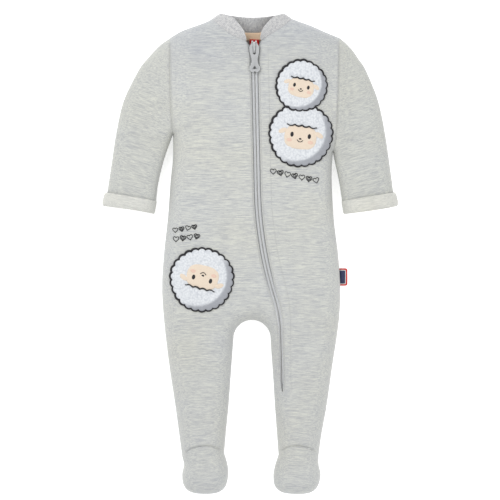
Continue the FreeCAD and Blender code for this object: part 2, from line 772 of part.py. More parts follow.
def make_pull_tab():
    """A waisted tab with an oval eye round the crown and a three-cornered hole near its end."""
    body = doc.addObject("PartDesign::Body", "PullTab")
    length = dim("pull_length")
    half = [(0, 0), (5.0, -1.2), (6.6, -6.5), (5.9, -13), (4.3, -20), (5.3, -28), (7.2, -33.5), (6.2, -36.4),
            (0, -length)]
    sketch = bound_sketch(body, "PullOutline")
    sketch.addGeometry([spline(half), spline(mirrored(half[::-1]))], False)
    pad = body.newObject("PartDesign::Pad", "PullPad")
    pad.Profile = sketch
    pad.setExpression("Length", cell("pull_thickness"))
    pad.Midplane = True
    doc.recompute()
    holes = bound_sketch(body, "PullHoles")
    top, bottom, eye = -4.45, -12.3, 2.15
    holes.addGeometry([
        Part.ArcOfCircle(Part.Circle(V(0, top, 0), V(0, 0, 1), eye), 0, math.pi),
        Part.LineSegment(V(-eye, top, 0), V(-eye, bottom, 0)),
        Part.ArcOfCircle(Part.Circle(V(0, bottom, 0), V(0, 0, 1), eye), math.pi, 2 * math.pi),
        Part.LineSegment(V(eye, bottom, 0), V(eye, top, 0)),
        *lines([(-3.4, -34), (0, -29.6), (3.4, -34), (-3.4, -34)]),
    ], False)
    pocket = body.newObject("PartDesign::Pocket", "PullEye")
    pocket.Profile = holes
    pocket.Type = "ThroughAll"
    pocket.Midplane = True
    doc.recompute()
    body.Placement = zip_placement(-dim("slider_top_y") + 1.6, 5.0 - 1.85)
    return node(body, "pull_tab")


# ---------------------------------------------------------------- patches and labels


def scallop_outline(name, x, y, radius, bumps, dent):
    """A round outline of small outward arcs, like drawn wool."""
    curves = []
    for n in range(bumps):
        angles = [2 * math.pi * (n + share) / bumps for share in (0, 0.5, 1)]
        reach = (radius - dent, radius, radius - dent)
        corners = [V(x + r * math.cos(a), y + r * math.sin(a), 0) for r, a in zip(reach, angles)]
        curves.append(Part.Arc(*corners))
    return plan(name, curves)


LAMBS = {
    "small_lamb": (68.0, 549.0, "lamb_small_radius", 22),
    "large_lamb": (66.5, 486.0, "lamb_large_radius", 24),
    "hip_lamb": (-66.0, 288.0, "lamb_hip_radius", 26),
}


def make_lambs():
    """Three round fleece patches, each with an embroidered edge and a felt face."""
    for number, (label, (x, y, radius, bumps)) in enumerate(LAMBS.items()):
        title = label.title().replace("_", "")
        size = dim(radius)
        lift = 0.3 if label == "small_lamb" else 0.2
        outline = scallop_outline(title + "Outline", x, y, size, bumps, 1.6)
        disc = prism(title + "Disc", outline, f"{cell('torso_height')} + {lift}", cell("fleece_thickness"))
        edge_room = prism(
            title + "EdgeRoom", inset(title + "Inset", outline, 2.2),
            f"{cell('torso_height')} - 1", f"{cell('fleece_thickness')} + 4",
        )
        fleece = common(title + "Fleece", disc, edge_room)
        ring = cut(title + "Edge", disc, edge_room)
        if label == "large_lamb":
            sx, sy, small, small_bumps = LAMBS["small_lamb"]
            other = scallop_outline("SmallLambKeepOut", sx, sy, dim(small) + 0.4, small_bumps, 1.6)
            keep_out = prism("SmallLambZone", other, cell("torso_height"), "20")
            fleece = cut(title + "FleeceTrim", fleece, keep_out)
            ring = cut(title + "EdgeTrim", ring, keep_out)
        node(fleece, f"{label}_fleece")
        node(ring, f"{label}_edge")
        face = doc.addObject("Part::Cylinder", title + "Face")
        face.Radius = size * 0.42
        face.Height = 0.6
        face.Placement.Base = V(x, y - 0.02 * size, dim("torso_height") + lift + dim("fleece_thickness") + 0.1)
        node(face, f"{label}_face")


def heart(name, x, y, size, turn):
    """A small heart outline about a point."""
    def at(u, v):
        c, s = math.cos(turn), math.sin(turn)
        return V(x + size * (u * c - v * s), y + size * (u * s + v * c), 0)

    return plan(name, [
        Part.LineSegment(at(0, -0.5), at(0.5, 0.15)),
        Part.Arc(at(0.5, 0.15), at(0.3, 0.45), at(0, 0.22)),
        Part.Arc(at(0, 0.22), at(-0.3, 0.45), at(-0.5, 0.15)),
        Part.LineSegment(at(-0.5, 0.15), at(0, -0.5)),
    ])


def make_heart_rows():
    """Two embroidered rows of small hearts."""
    rows = {
        "chest_heart_row": [(30 + 9.6 * n, 433 - 2.0 * n, 7.0) for n in range(7)],
        "hip_heart_row": [(-102 + 8.6 * n, 355 + 1.4 * n, 6.2) for n in range(4)]
        + [(-101 + 9.4 * n, 343 + 1.2 * n, 7.0) for n in range(4)],
    }
    for label, places in rows.items():
        title = label.title().replace("_", "")
        hearts = [
            prism(f"{title}{n}", heart(f"{title}Plan{n}", x, y, size, 0.25 * math.sin(2.4 * n)),
                  f"{cell('torso_height')} + 0.1", "0.7")
            for n, (x, y, size) in enumerate(places)
        ]
        group = doc.addObject("Part::Compound", title)
        group.Links = hearts
        node(group, label)


def make_side_label():
    """A folded woven label in the left side seam, free to bend about the seam."""
    body = doc.addObject("PartDesign::Body", "SideLabel")
    sketch = bound_sketch(body, "SideLabelOutline")
    wide, tall, corner = dim("label_width"), dim("label_height") / 2, 3.0
    points = [(0, -tall), (wide, -tall), (wide, tall - corner), (wide - corner, tall), (0, tall), (0, -tall)]
    sketch.addGeometry(lines(points), False)
    for line in range(5):
        sketch.addConstraint(Sketcher.Constraint("Coincident", line, 2, (line + 1) % 5, 1))
    sketch.addConstraint(Sketcher.Constraint("PointOnObject", 0, 1, -2))
    sketch.addConstraint(Sketcher.Constraint("Horizontal", 0))
    sketch.addConstraint(Sketcher.Constraint("Horizontal", 3))
    sketch.addConstraint(Sketcher.Constraint("Vertical", 1))
    sketch.addConstraint(Sketcher.Constraint("Symmetric", 4, 1, 4, 2, -1, 1))
    width = sketch.addConstraint(Sketcher.Constraint("DistanceX", 0, 1, 0, 2, wide))
    height = sketch.addConstraint(Sketcher.Constraint("DistanceY", 4, 2, 4, 1, 2 * tall))
    sketch.setExpression(f"Constraints[{width}]", cell("label_width"))
    sketch.setExpression(f"Constraints[{height}]", cell("label_height"))
    pad = body.newObject("PartDesign::Pad", "SideLabelPad")
    pad.Profile = sketch
    pad.Length = 1.2
    pad.Midplane = True
    doc.recompute()
    body.Placement = FreeCAD.Placement(V(dim("hip_half") + 1.5, 291.5, dim("torso_height") / 2),
                                       FreeCAD.Rotation())
    return node(body, "side_label")


# ---------------------------------------------------------------- build and write


def centre_lengthwise(part):
    """The suit is drawn from the toes up; its frame starts in the middle of its length."""
    placement = part.Placement
    placement.Base = placement.Base - V(0, dim("suit_length") / 2, 0)
    part.Placement = placement


def check_and_write():
    doc.recompute()
    broken = [o.Name for o in doc.Objects if {"Invalid", "Error"} & set(o.State)]
    if broken:
        raise RuntimeError(f"these objects failed: {broken}")
    os.makedirs("parts", exist_ok=True)
    for part in nodes:
        centre_lengthwise(part)
        shape = part.Shape
        if shape.isNull() or not shape.isValid() or not shape.Solids:
            raise RuntimeError(f"{part.Label} has no valid solid")
        bounds = shape.BoundBox
        print(f"{part.Label}: {len(shape.Solids)} solid(s), {shape.Volume:.0f} mm3,"
              f" x {bounds.XMin:.1f} {bounds.XMax:.1f} y {bounds.YMin:.1f} {bounds.YMax:.1f}"
              f" z {bounds.ZMin:.1f} {bounds.ZMax:.1f}")
        shape.exportStep(os.path.join("parts", part.Label + ".step"))


fill_sheet()
torso_shell, legs_shell, legs_room, leg_zones = make_trunk()
make_torso_panels(torso_shell)
zipped_leg = make_legs(legs_shell, leg_zones)
make_feet()
for arm in (RIGHT, LEFT):
    make_sleeve(arm)
    make_cuff(arm)
make_collar()
make_neck_pieces()
make_zip_strips(leg_zones, legs_room, zipped_leg, make_stops())
make_slider_body()
make_slider_crown()
make_pull_tab()
make_lambs()
make_heart_rows()
make_side_label()
check_and_write()
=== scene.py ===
"""The looks of the baby sleepsuit: knit panels, collar, cuffs, zip, fleece patches and labels.

Frame: X to the wearer's left, Y to the head, Z up out of the front. Plans below are in millimetres,
with Y from the toes, and become metres in the frame only when a mesh is made.
Right (-1) and left (+1) are the wearer's.
"""

import json
import math

import bmesh
import bpy
import numpy as np
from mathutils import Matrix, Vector, geometry, noise


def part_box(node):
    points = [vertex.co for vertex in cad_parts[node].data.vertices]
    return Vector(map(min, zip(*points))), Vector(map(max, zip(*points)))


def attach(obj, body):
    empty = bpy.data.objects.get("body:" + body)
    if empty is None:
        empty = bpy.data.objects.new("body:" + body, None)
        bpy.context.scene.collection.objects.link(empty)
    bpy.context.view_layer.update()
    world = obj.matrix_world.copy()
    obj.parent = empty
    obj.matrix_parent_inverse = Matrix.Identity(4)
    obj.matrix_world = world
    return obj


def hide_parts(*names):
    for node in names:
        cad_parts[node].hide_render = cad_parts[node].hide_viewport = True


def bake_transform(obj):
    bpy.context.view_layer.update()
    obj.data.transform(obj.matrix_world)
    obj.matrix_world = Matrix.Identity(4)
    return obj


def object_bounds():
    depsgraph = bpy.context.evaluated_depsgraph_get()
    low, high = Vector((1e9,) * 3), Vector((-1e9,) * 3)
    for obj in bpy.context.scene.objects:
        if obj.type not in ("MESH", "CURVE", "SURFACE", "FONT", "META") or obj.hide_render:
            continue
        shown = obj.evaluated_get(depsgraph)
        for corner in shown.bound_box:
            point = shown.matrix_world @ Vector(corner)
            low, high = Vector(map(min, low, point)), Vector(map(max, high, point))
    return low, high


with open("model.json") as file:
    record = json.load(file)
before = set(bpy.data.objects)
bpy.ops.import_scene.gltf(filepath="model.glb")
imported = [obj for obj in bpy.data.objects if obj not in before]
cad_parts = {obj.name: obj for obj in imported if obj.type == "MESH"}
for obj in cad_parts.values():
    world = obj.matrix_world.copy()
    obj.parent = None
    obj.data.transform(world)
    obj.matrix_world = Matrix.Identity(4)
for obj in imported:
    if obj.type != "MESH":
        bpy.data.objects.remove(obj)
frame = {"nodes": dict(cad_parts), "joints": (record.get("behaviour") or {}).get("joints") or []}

CAD_LOW, CAD_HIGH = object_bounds()
RIGHT, LEFT = -1, 1
NAMES = {RIGHT: "right", LEFT: "left"}
MM = 0.001
TOE = np.array([0, CAD_LOW.y / MM, 0])


# ---------------------------------------------------------------- places taken from the frame


def joint(name):
    return next(j for j in frame["joints"] if j["name"] == name)


def cad_box(node):
    low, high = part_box(node)
    return np.array(low) / MM - TOE, np.array(high) / MM - TOE


PANEL_TOP = cad_box("front_right_panel")[1][2]
LEG_TOP = cad_box("right_leg_front")[1][2]
SLEEVE_TOP = cad_box("right_sleeve")[1][2]
COLLAR_TIP_Y = cad_box("collar_band")[1][1]
ZIP_TILT = math.asin(joint("zip_slide")["axis"][0])

CLOTH = 1.1
# Painted shade in the knit's colour: between these two heights it grows darker and a little blue towards the neck.
NECK_SHADE_LOW, NECK_SHADE_HIGH = 540.0, 625.0
HIP_CUT = 236.0
KNEE_CUT = 112.0
ZIP_TOP = np.array([4.2, 611.0])
ZIP_STRAIGHT = 202.0
ZIP_BEND = math.radians(17.0)
ZIP_OUT_RADIUS = 536.0
ZIP_BACK_RADIUS = 189.0
ZIP_END_ANGLE = math.radians(1.5)
ZIP_TAIL = 78.0
ZIP_HALF = 4.7
SLOT_HALF = 2.2


# ---------------------------------------------------------------- curves in the plan


def ease(value, low, high):
    """0 below low, 1 above high, smooth between."""
    share = np.clip((np.asarray(value, float) - low) / (high - low), 0, 1)
    return share * share * (3 - 2 * share)


def smooth(points, step=4.0):
    """A curve through points, sampled about step apart."""
    points = np.array(points, float)
    padded = np.vstack([2 * points[0] - points[1], points, 2 * points[-1] - points[-2]])
    out = [points[0]]
    for a, b, c, d in zip(padded, padded[1:], padded[2:], padded[3:]):
        count = max(2, int(np.ceil(np.linalg.norm(c - b) / step)))
        for share in np.arange(1, count + 1) / count:
            square, cube = share * share, share**3
            out.append(0.5 * (2 * b + (c - a) * share + (2 * a - 5 * b + 4 * c - d) * square
                              + (3 * b - a - 3 * c + d) * cube))
    return np.array(out)


def straight(a, b, step=4.0):
    count = max(1, int(np.ceil(np.linalg.norm(np.subtract(b, a)) / step)))
    share = np.linspace(0, 1, count + 1)[:, None]
    return np.array(a) * (1 - share) + np.array(b) * share


def joined(*runs):
    """Runs that start where the last one ended, as one."""
    return np.vstack([runs[0], *[run[1:] for run in runs[1:]]])


def flipped(points):
    return np.array(points, float) * [-1, 1]


def sided(points, side):
    return np.array(points, float) if side == LEFT else flipped(points)


def reach_along(path):
    """How far along a path each of its points is."""
    return np.concatenate([[0], np.cumsum(np.linalg.norm(np.diff(path, axis=0), axis=1))])


def near(points, path):
    """For each point: distance to the path, its side (+ to the left hand of travel) and its length there."""
    starts, steps = path[:-1], np.diff(path, axis=0)
    lengths = np.linalg.norm(steps, axis=1)
    before = np.concatenate([[0], np.cumsum(lengths)])[:-1]
    away, hand, along = (np.empty(len(points)) for _ in range(3))
    for first in range(0, len(points), 3000):
        part = slice(first, first + 3000)
        rel = points[part, None, :] - starts[None]
        share = np.clip((rel * steps).sum(2) / (lengths**2), 0, 1)
        gap = rel - share[:, :, None] * steps
        far = np.linalg.norm(gap, axis=2)
        best = far.argmin(1)
        rows = np.arange(len(best))
        away[part] = far[rows, best]
        hand[part] = np.sign(steps[best, 0] * rel[rows, best, 1] - steps[best, 1] * rel[rows, best, 0])
        along[part] = before[best] + share[rows, best] * lengths[best]
    return away, hand, along


def inside(points, loop):
    """Which points lie inside a closed loop."""
    ends = np.roll(loop, -1, axis=0)
    result = np.zeros(len(points), bool)
    for (ax, ay), (bx, by) in zip(loop, ends):
        if ay == by:
            continue
        crosses = (points[:, 1] > min(ay, by)) & (points[:, 1] <= max(ay, by))
        result ^= crosses & (points[:, 0] < ax + (points[:, 1] - ay) * (bx - ax) / (by - ay))
    return result


# ---------------------------------------------------------------- the suit's outline

NECK = {RIGHT: (-52.0, 640.3), LEFT: (54.5, 640.3)}
SHOULDER = {RIGHT: (-109.0, 614.4), LEFT: (119.2, 614.6)}
ARMPIT = {RIGHT: (-105.2, 484.5), LEFT: (110.6, 460.5)}
CUFF_OUTER = {RIGHT: (-194.3, 404.5), LEFT: (192.4, 404.5)}
CUFF_INNER = {RIGHT: (-128.2, 393.0), LEFT: (123.2, 393.0)}
ANKLE_OUT = {RIGHT: (-92.8, 48.5), LEFT: (91.2, 50.0)}
ANKLE_IN = {RIGHT: (-36.2, 54.0), LEFT: (37.2, 52.0)}
CROTCH_X, CROTCH_Y, CROTCH_RADIUS = 1.4, 208.5, 25.0
SHOULDER_LINE = {
    RIGHT: [(-59, 636.2), (-74, 630.6), (-91.5, 624.4), (-100.5, 619.8)],
    LEFT: [(66, 636.0), (81, 630.6), (93.3, 625.2), (105.4, 620.0)],
}
SLEEVE_OUTER = {
    RIGHT: [(-124, 603.5), (-141.5, 584.6), (-152, 570.5), (-171.5, 530.6), (-181.3, 490), (-187.6, 449.5)],
    LEFT: [(126.8, 608.6), (137, 598), (144.6, 587), (155, 571), (171.3, 530.6), (180.2, 490), (186.4, 449.5)],
}
SLEEVE_INNER = {RIGHT: [(-125, 418.5), (-117, 451)], LEFT: [(119.2, 418.5), (114.3, 442)]}
TRUNK = {
    RIGHT: [(-105.4, 451), (-108.7, 418.5), (-111.8, 375), (-117.6, 321), (-120.1, 276), (-116.8, 227),
            (-110.4, 173), (-102.3, 119), (-97, 80)],
    LEFT: [(109, 436), (109.7, 402), (112.6, 362), (117.7, 321), (120.6, 272), (118, 227), (110, 173),
           (102.3, 119), (95, 78)],
}
FOOT = {
    RIGHT: [(-90.6, 38), (-93, 24), (-90.5, 9.5), (-81, 1), (-62, -1.6), (-43.5, 0.8), (-34, 9.5),
            (-30.8, 24), (-31.6, 38)],
    LEFT: [(91.4, 38), (94, 24), (90.4, 9.5), (81, 0.6), (62, -1.8), (42, 0.8), (32.2, 9.5), (30.2, 24),
           (32.8, 38)],
}
INNER_LEG = {
    RIGHT: [(-34, 80), (-30.2, 119), (-27.2, 160), (-25, 190)],
    LEFT: [(35, 80), (32.2, 119), (29.6, 160), (27.4, 190)],
}


def shoulder_run(side):
    return smooth([NECK[side], *SHOULDER_LINE[side], SHOULDER[side]])


def sleeve_outer(side):
    return smooth([SHOULDER[side], *SLEEVE_OUTER[side], CUFF_OUTER[side]])


def sleeve_inner(side):
    return smooth([CUFF_INNER[side], *SLEEVE_INNER[side], ARMPIT[side]])


def trunk_run(side):
    return smooth([ARMPIT[side], *TRUNK[side], ANKLE_OUT[side]])


def foot_run(side):
    return smooth([ANKLE_OUT[side], *FOOT[side], ANKLE_IN[side]], 3.0)


def crotch_end(side):
    return CROTCH_X + side * CROTCH_RADIUS, CROTCH_Y


def inner_leg_run(side):
    return smooth([ANKLE_IN[side], *INNER_LEG[side], crotch_end(side)])


def crotch_run():
    angles = np.linspace(0, math.pi, 21)
    return np.column_stack([CROTCH_X + CROTCH_RADIUS * np.cos(angles), CROTCH_Y + CROTCH_RADIUS * np.sin(angles)])


def cuff_run(side):
    return straight(CUFF_OUTER[side], CUFF_INNER[side])


def armhole(side):
    """The seam between torso and sleeve, from the shoulder down to the armpit."""
    (tx, ty), (ax, ay) = SHOULDER[side], ARMPIT[side]
    return smooth([(tx, ty), (tx * 0.95 + ax * 0.05, ty - 45), (tx * 0.65 + ax * 0.35, ay + 36), (ax, ay)], 3.0)


def half_outline(side):
    """From the neck round the sleeve and down to the crotch; closed stretches and the open cuff apart."""
    return [
        joined(shoulder_run(side), sleeve_outer(side)),
        cuff_run(side),
        joined(sleeve_inner(side), trunk_run(side), foot_run(side), inner_leg_run(side)),
    ]


LEFT_RUNS, RIGHT_RUNS = half_outline(LEFT), half_outline(RIGHT)
SILHOUETTE = joined(*LEFT_RUNS, crotch_run(), *[run[::-1] for run in RIGHT_RUNS[::-1]])
CLOSED_EDGES = [
    LEFT_RUNS[0],
    joined(LEFT_RUNS[2], crotch_run(), RIGHT_RUNS[2][::-1]),
    RIGHT_RUNS[0],
]
FRONT_NECK = {
    RIGHT: joined(smooth([NECK[RIGHT], (-36.9, 626.2), (-23.5, 617), (-12, 611.4), (-6.0, 608.5)], 3.0),
                  straight((-6.0, 608.5), (-2.8, 604.0), 2.0)),
    LEFT: joined(smooth([NECK[LEFT], (40.4, 627.8), (25, 618.2), (13.6, 609.8)], 3.0),
                 straight((13.6, 609.8), (11.2, 604.0), 2.0)),
}
FRONT_NECK_HOLE = np.vstack([FRONT_NECK[RIGHT], FRONT_NECK[LEFT][::-1], [(54, 720), (-50, 720)]])
BACK_NECK = smooth([NECK[RIGHT], (-27, 627), (2, 621.5), (31, 627), NECK[LEFT]], 3.0)
BACK_NECK_HOLE = np.vstack([BACK_NECK, [(54, 720), (-50, 720)]])


def vamp(side):
    """The curved seam over the foot."""
    shape = sided([(86, 55.5), (76, 61), (60, 63.3), (46, 60)], side)
    return smooth([ANKLE_OUT[side], *shape, ANKLE_IN[side]], 3.0)


# ---------------------------------------------------------------- the zip's line


def zip_line(step=3.0):
    """Points down the middle of the zip: straight, a bend to the left leg and a bend back."""
    def heading(angle):
        return np.array([math.sin(angle), -math.cos(angle)])

    place, points = ZIP_TOP.copy(), [ZIP_TOP.copy()]
    runs = [
        (ZIP_STRAIGHT, ZIP_TILT, ZIP_TILT),
        (ZIP_OUT_RADIUS * (ZIP_BEND - ZIP_TILT), ZIP_TILT, ZIP_BEND),
        (ZIP_BACK_RADIUS * (ZIP_BEND - ZIP_END_ANGLE), ZIP_BEND, ZIP_END_ANGLE),
        (ZIP_TAIL, ZIP_END_ANGLE, ZIP_END_ANGLE),
    ]
    for length, first, last in runs:
        count = int(np.ceil(length / step))
        for n in range(count):
            place = place + heading(first + (last - first) * (n + 0.5) / count) * length / count
            points.append(place.copy())
    return np.array(points)


ZIP = zip_line()
ZIP_REACH = reach_along(ZIP)
ZIP_LENGTH = ZIP_REACH[-1]


def along_at(y):
    """The length down the zip at a height in the plan."""
    return float(np.interp(-y, -ZIP[:, 1], ZIP_REACH))


ZIP_SPLIT = along_at(HIP_CUT)


def zip_frame(along):
    """Places on the zip's line at these lengths, and the unit directions across it, to +X."""
    at, ahead, behind = (
        np.column_stack([np.interp(along + step, ZIP_REACH, ZIP[:, k]) for k in (0, 1)]) for step in (0, 1, -1)
    )
    way = ahead - behind
    way /= np.linalg.norm(way, axis=1)[:, None]
    return at, np.column_stack([-way[:, 1], way[:, 0]])


def gap_half(along):
    """Half the gap between the front panels: wider at the collar, a slot in the leg that closes to a point."""
    wide = ZIP_HALF + 2.6 * (1 - ease(along, 0, 24))
    half = wide + (SLOT_HALF - wide) * ease(along, along_at(322), along_at(205))
    return half * (1 - ease(along, ZIP_LENGTH - 16, ZIP_LENGTH + 3)) + 0.05


def zip_offset(along, offset):
    at, across = zip_frame(np.asarray(along, float))
    return at + across * np.asarray(offset, float).reshape(-1, 1)


SLOT_ALONG = np.arange(0, ZIP_LENGTH, 3.0)
SLOT = {side: zip_offset(SLOT_ALONG, side * gap_half(SLOT_ALONG)) for side in (RIGHT, LEFT)}
SLOT_LOOP = np.vstack([SLOT[RIGHT], SLOT[LEFT][::-1]])
HALF_SPLIT = np.vstack([[ZIP[0] + [0, 60]], ZIP, [ZIP[-1] - [0, 60]]])


# ---------------------------------------------------------------- heights of the cloth

EDGE_ROUND = 24.0
ROUNDNESS = 2.25
HEIGHTS = {"torso": PANEL_TOP - 0.6, "leg": LEG_TOP - 1.0, "sleeve": SLEEVE_TOP - 1.5}
SEAM_SHARE = 0.46
NECK_LIFT = 19.0

# Soft folds: start, end, half width and height, all in millimetres.
FOLDS = [
    ((-30, 611), (-8, 592), 3.0, 1.6), ((-33, 606), (-12, 586), 3.4, -1.3),
    ((33, 612), (17, 598), 3.2, 0.9),
    ((-101, 494), (-66, 520), 6.0, 1.5), ((-100, 480), (-72, 470), 5.5, 1.2), ((-99, 505), (-84, 548), 6, 1.0),
    ((107, 478), (74, 502), 6.0, 1.4), ((106, 466), (78, 452), 5.5, 1.2), ((105, 490), (90, 536), 6, 1.0),
    ((-112, 492), (-140, 512), 5.5, 1.5), ((-113, 478), (-150, 478), 6.0, 1.2),
    ((118, 478), (146, 500), 5.5, 1.5), ((119, 462), (154, 464), 6.0, 1.2),
    ((-128, 440), (-168, 452), 6.0, 0.9), ((130, 436), (170, 450), 6.0, 0.9),
    ((-118, 400), (-84, 388), 9.0, 0.9), ((118, 380), (86, 392), 9.0, 0.9),
    ((20, 241), (62, 262), 6.0, 1.3), ((-20, 241), (-62, 262), 6.0, 1.3), ((0, 240), (0, 272), 9.0, 0.9),
    ((30, 205), (66, 188), 6.5, 1.2), ((-30, 205), (-70, 190), 6.5, 1.3), ((-33, 176), (-84, 158), 7.0, 1.1),
    ((-96, 150), (-52, 128), 7.0, 0.9), ((96, 142), (60, 120), 7.0, 1.1), ((-38, 118), (-74, 100), 6.0, 1.0),
    ((50, 124), (40, 96), 4.5, 1.0), ((44, 92), (66, 72), 4.0, 1.2), ((86, 92), (60, 70), 4.5, 1.1),
    ((84, 74), (66, 68), 3.4, 1.0), ((-46, 90), (-64, 74), 4.2, 0.9), ((-86, 86), (-66, 72), 4.2, 0.9),
    ((-42, 70), (-52, 84), 3.2, 0.8), ((-80, 30), (-50, 34), 6.0, 0.7), ((46, 34), (80, 28), 6.0, 0.7),
    ((10, 330), (-30, 318), 12.0, 0.8), ((56, 380), (96, 372), 12.0, 0.8), ((-60, 410), (-20, 402), 12, 0.7),
]


def notch(x, y):
    """Whether a place beside the torso belongs to a sleeve."""
    side_x = np.abs(x)
    edge = 106 + (478 - y) * 0.14
    return (side_x > edge) & (y > 372)


def full_height(x, y):
    """How high the filled suit is, away from its edges."""
    legs = HEIGHTS["torso"] + (HEIGHTS["leg"] - HEIGHTS["torso"]) * (1 - ease(y, 175, 275))
    arm = np.where(notch(x, y) & (y < 482), 1.0, ease(y, 425, 500))
    arm = arm * ease(np.abs(x), 78, 142)
    return legs + (HEIGHTS["sleeve"] - legs) * arm


def edge_profile(away, reach=EDGE_ROUND):
    """0 at an edge and 1 inside it, rising upright like a stuffed edge."""
    share = 1 - np.clip(away / reach, 0, 1)
    return (1 - share**ROUNDNESS) ** (1 / ROUNDNESS)


def fold_height(points):
    total = np.zeros(len(points))
    for start, end, width, height in FOLDS:
        start, way = np.array(start, float), np.subtract(end, start).astype(float)
        length = np.linalg.norm(way)
        rel = points - start
        share = (rel @ way) / length**2
        bow = 0.12 * length * np.sin(np.clip(share, 0, 1) * math.pi)
        off = (rel[:, 0] * way[1] - rel[:, 1] * way[0]) / length - bow
        taper = ease(share, -0.15, 0.25) * (1 - ease(share, 0.45, 1.15))
        total += height * taper * np.exp(-((off / width) ** 2))
        total -= 0.45 * height * taper * np.exp(-(((off - 1.9 * width) / (1.3 * width)) ** 2))
    return total


def soft_waves(points, seed):
    """Gentle unevenness of cloth over a soft filling."""
    return np.array([
        0.55 * noise.noise(Vector((x / 46, y / 34, seed))) + 0.3 * noise.noise(Vector((x / 17, y / 13, seed + 7)))
        for x, y in points
    ])


SEAM_LINES = [armhole(RIGHT), armhole(LEFT)]
VAMPS = [vamp(RIGHT), vamp(LEFT)]


def closed_distance(points):
    return np.min([near(points, path)[0] for path in CLOSED_EDGES], axis=0)


def middle_height(points):
    """The height of the side seams."""
    x, y = points[:, 0], points[:, 1]
    feet = 1 - ease(y, 15, 75)
    return full_height(x, y) * SEAM_SHARE - 3.5 * feet


def seam_relief(points):
    """Grooves along the sewn lines that both sides of the suit share."""
    total = np.zeros(len(points))
    for path in SEAM_LINES:
        away = near(points, path)[0]
        total += -2.0 * np.exp(-((away / 1.25) ** 2)) + 0.6 * np.exp(-(((away - 3.2) / 1.9) ** 2))
    return total


def top_height(points):
    """The front of the suit at places in the plan."""
    points = np.asarray(points, float)
    away = closed_distance(points)
    middle = middle_height(points)
    full = full_height(points[:, 0], points[:, 1])
    rise = middle + (full - middle) * edge_profile(away)
    inner = ease(away, 0.5, 9)
    detail = seam_relief(points) + fold_height(points) + soft_waves(points, 1.0)
    zip_away, _, along = near(points, ZIP)
    beside = zip_away - gap_half(along)
    calm = ease(beside, 3, 22)
    detail *= 0.25 + 0.75 * calm
    roll = -1.6 * np.exp(-((np.clip(beside, 0, None) / 1.5) ** 2)) * (beside > -3)
    in_leg = 1 - ease(points[:, 1], 165, 262)
    ridge = (0.45 + 0.75 * in_leg) * np.exp(-(((beside - 3.9) / (2.2 + 0.6 * in_leg)) ** 2))
    ridge -= 0.75 * in_leg * np.exp(-(((beside - 9.5) / 2.6) ** 2))
    for path in FRONT_NECK.values():
        detail -= 1.3 * np.exp(-((near(points, path)[0] / 1.5) ** 2))
    for path in VAMPS:
        foot_away = near(points, path)[0]
        on_foot = inside(points, np.vstack([path, [(path[-1][0], -30), (path[0][0], -30)]]))
        detail += np.where(on_foot, 1.9 * np.exp(-((foot_away / 6) ** 2)), -2.0 * np.exp(-((foot_away / 2.0) ** 2)))
    return rise + inner * (detail + roll + ridge)


def neck_rise(points):
    """How far the back of the neck stands off the surface under the suit."""
    across = 1 - ease(np.abs(points[:, 0] - 2), 22, 80)
    return NECK_LIFT * ease(points[:, 1], 545, 622) * across


def bottom_height(points):
    """The back of the suit at places in the plan."""
    points = np.asarray(points, float)
    away = closed_distance(points)
    middle = middle_height(points)
    floor = 0.5 + neck_rise(points)
    rise = middle + (floor - middle) * edge_profile(away, EDGE_ROUND - 4)
    relief = -0.5 * seam_relief(points) + 0.4 * np.abs(soft_waves(points, 5.0))
    return rise + ease(away, 2, 12) * np.clip(relief, -0.2, 2)


# ---------------------------------------------------------------- one triangulation for the whole suit


class Mosaic:
    """Points and lines in the plan, kept apart from each other, that are triangulated together."""

    CELL = 4.0

    def __init__(self):
        self.points, self.edges, self.cells = [], [], {}

    def cell(self, point):
        return int(point[0] // self.CELL), int(point[1] // self.CELL)

    def crowded(self, point, gap):
        i, j = self.cell(point)
        reach = int(gap // self.CELL) + 1
        for a in range(i - reach, i + reach + 1):
            for b in range(j - reach, j + reach + 1):
                for other in self.cells.get((a, b), ()):
                    q = self.points[other]
                    if (q[0] - point[0]) ** 2 + (q[1] - point[1]) ** 2 < gap * gap:
                        return other
        return None

    def put(self, point, gap):
        """The number of a point, new unless one lies within gap."""
        found = self.crowded(point, gap)
        if found is not None:
            return found
        self.points.append((float(point[0]), float(point[1])))
        self.cells.setdefault(self.cell(point), []).append(len(self.points) - 1)
        return len(self.points) - 1

    def line(self, path):
        numbers = [self.put(point, 0.02) for point in path]
        self.edges += [(a, b) for a, b in zip(numbers, numbers[1:]) if a != b]

    def scatter(self, points, gap):
        for point in points:
            if self.crowded(point, gap) is None:
                self.put(point, 0)


def beside_path(path, distance):
    """The path moved sideways; positive is to the right hand of travel."""
    way = np.gradient(path, axis=0)
    way /= np.linalg.norm(way, axis=1)[:, None]
    return path + np.column_stack([way[:, 1], -way[:, 0]]) * distance


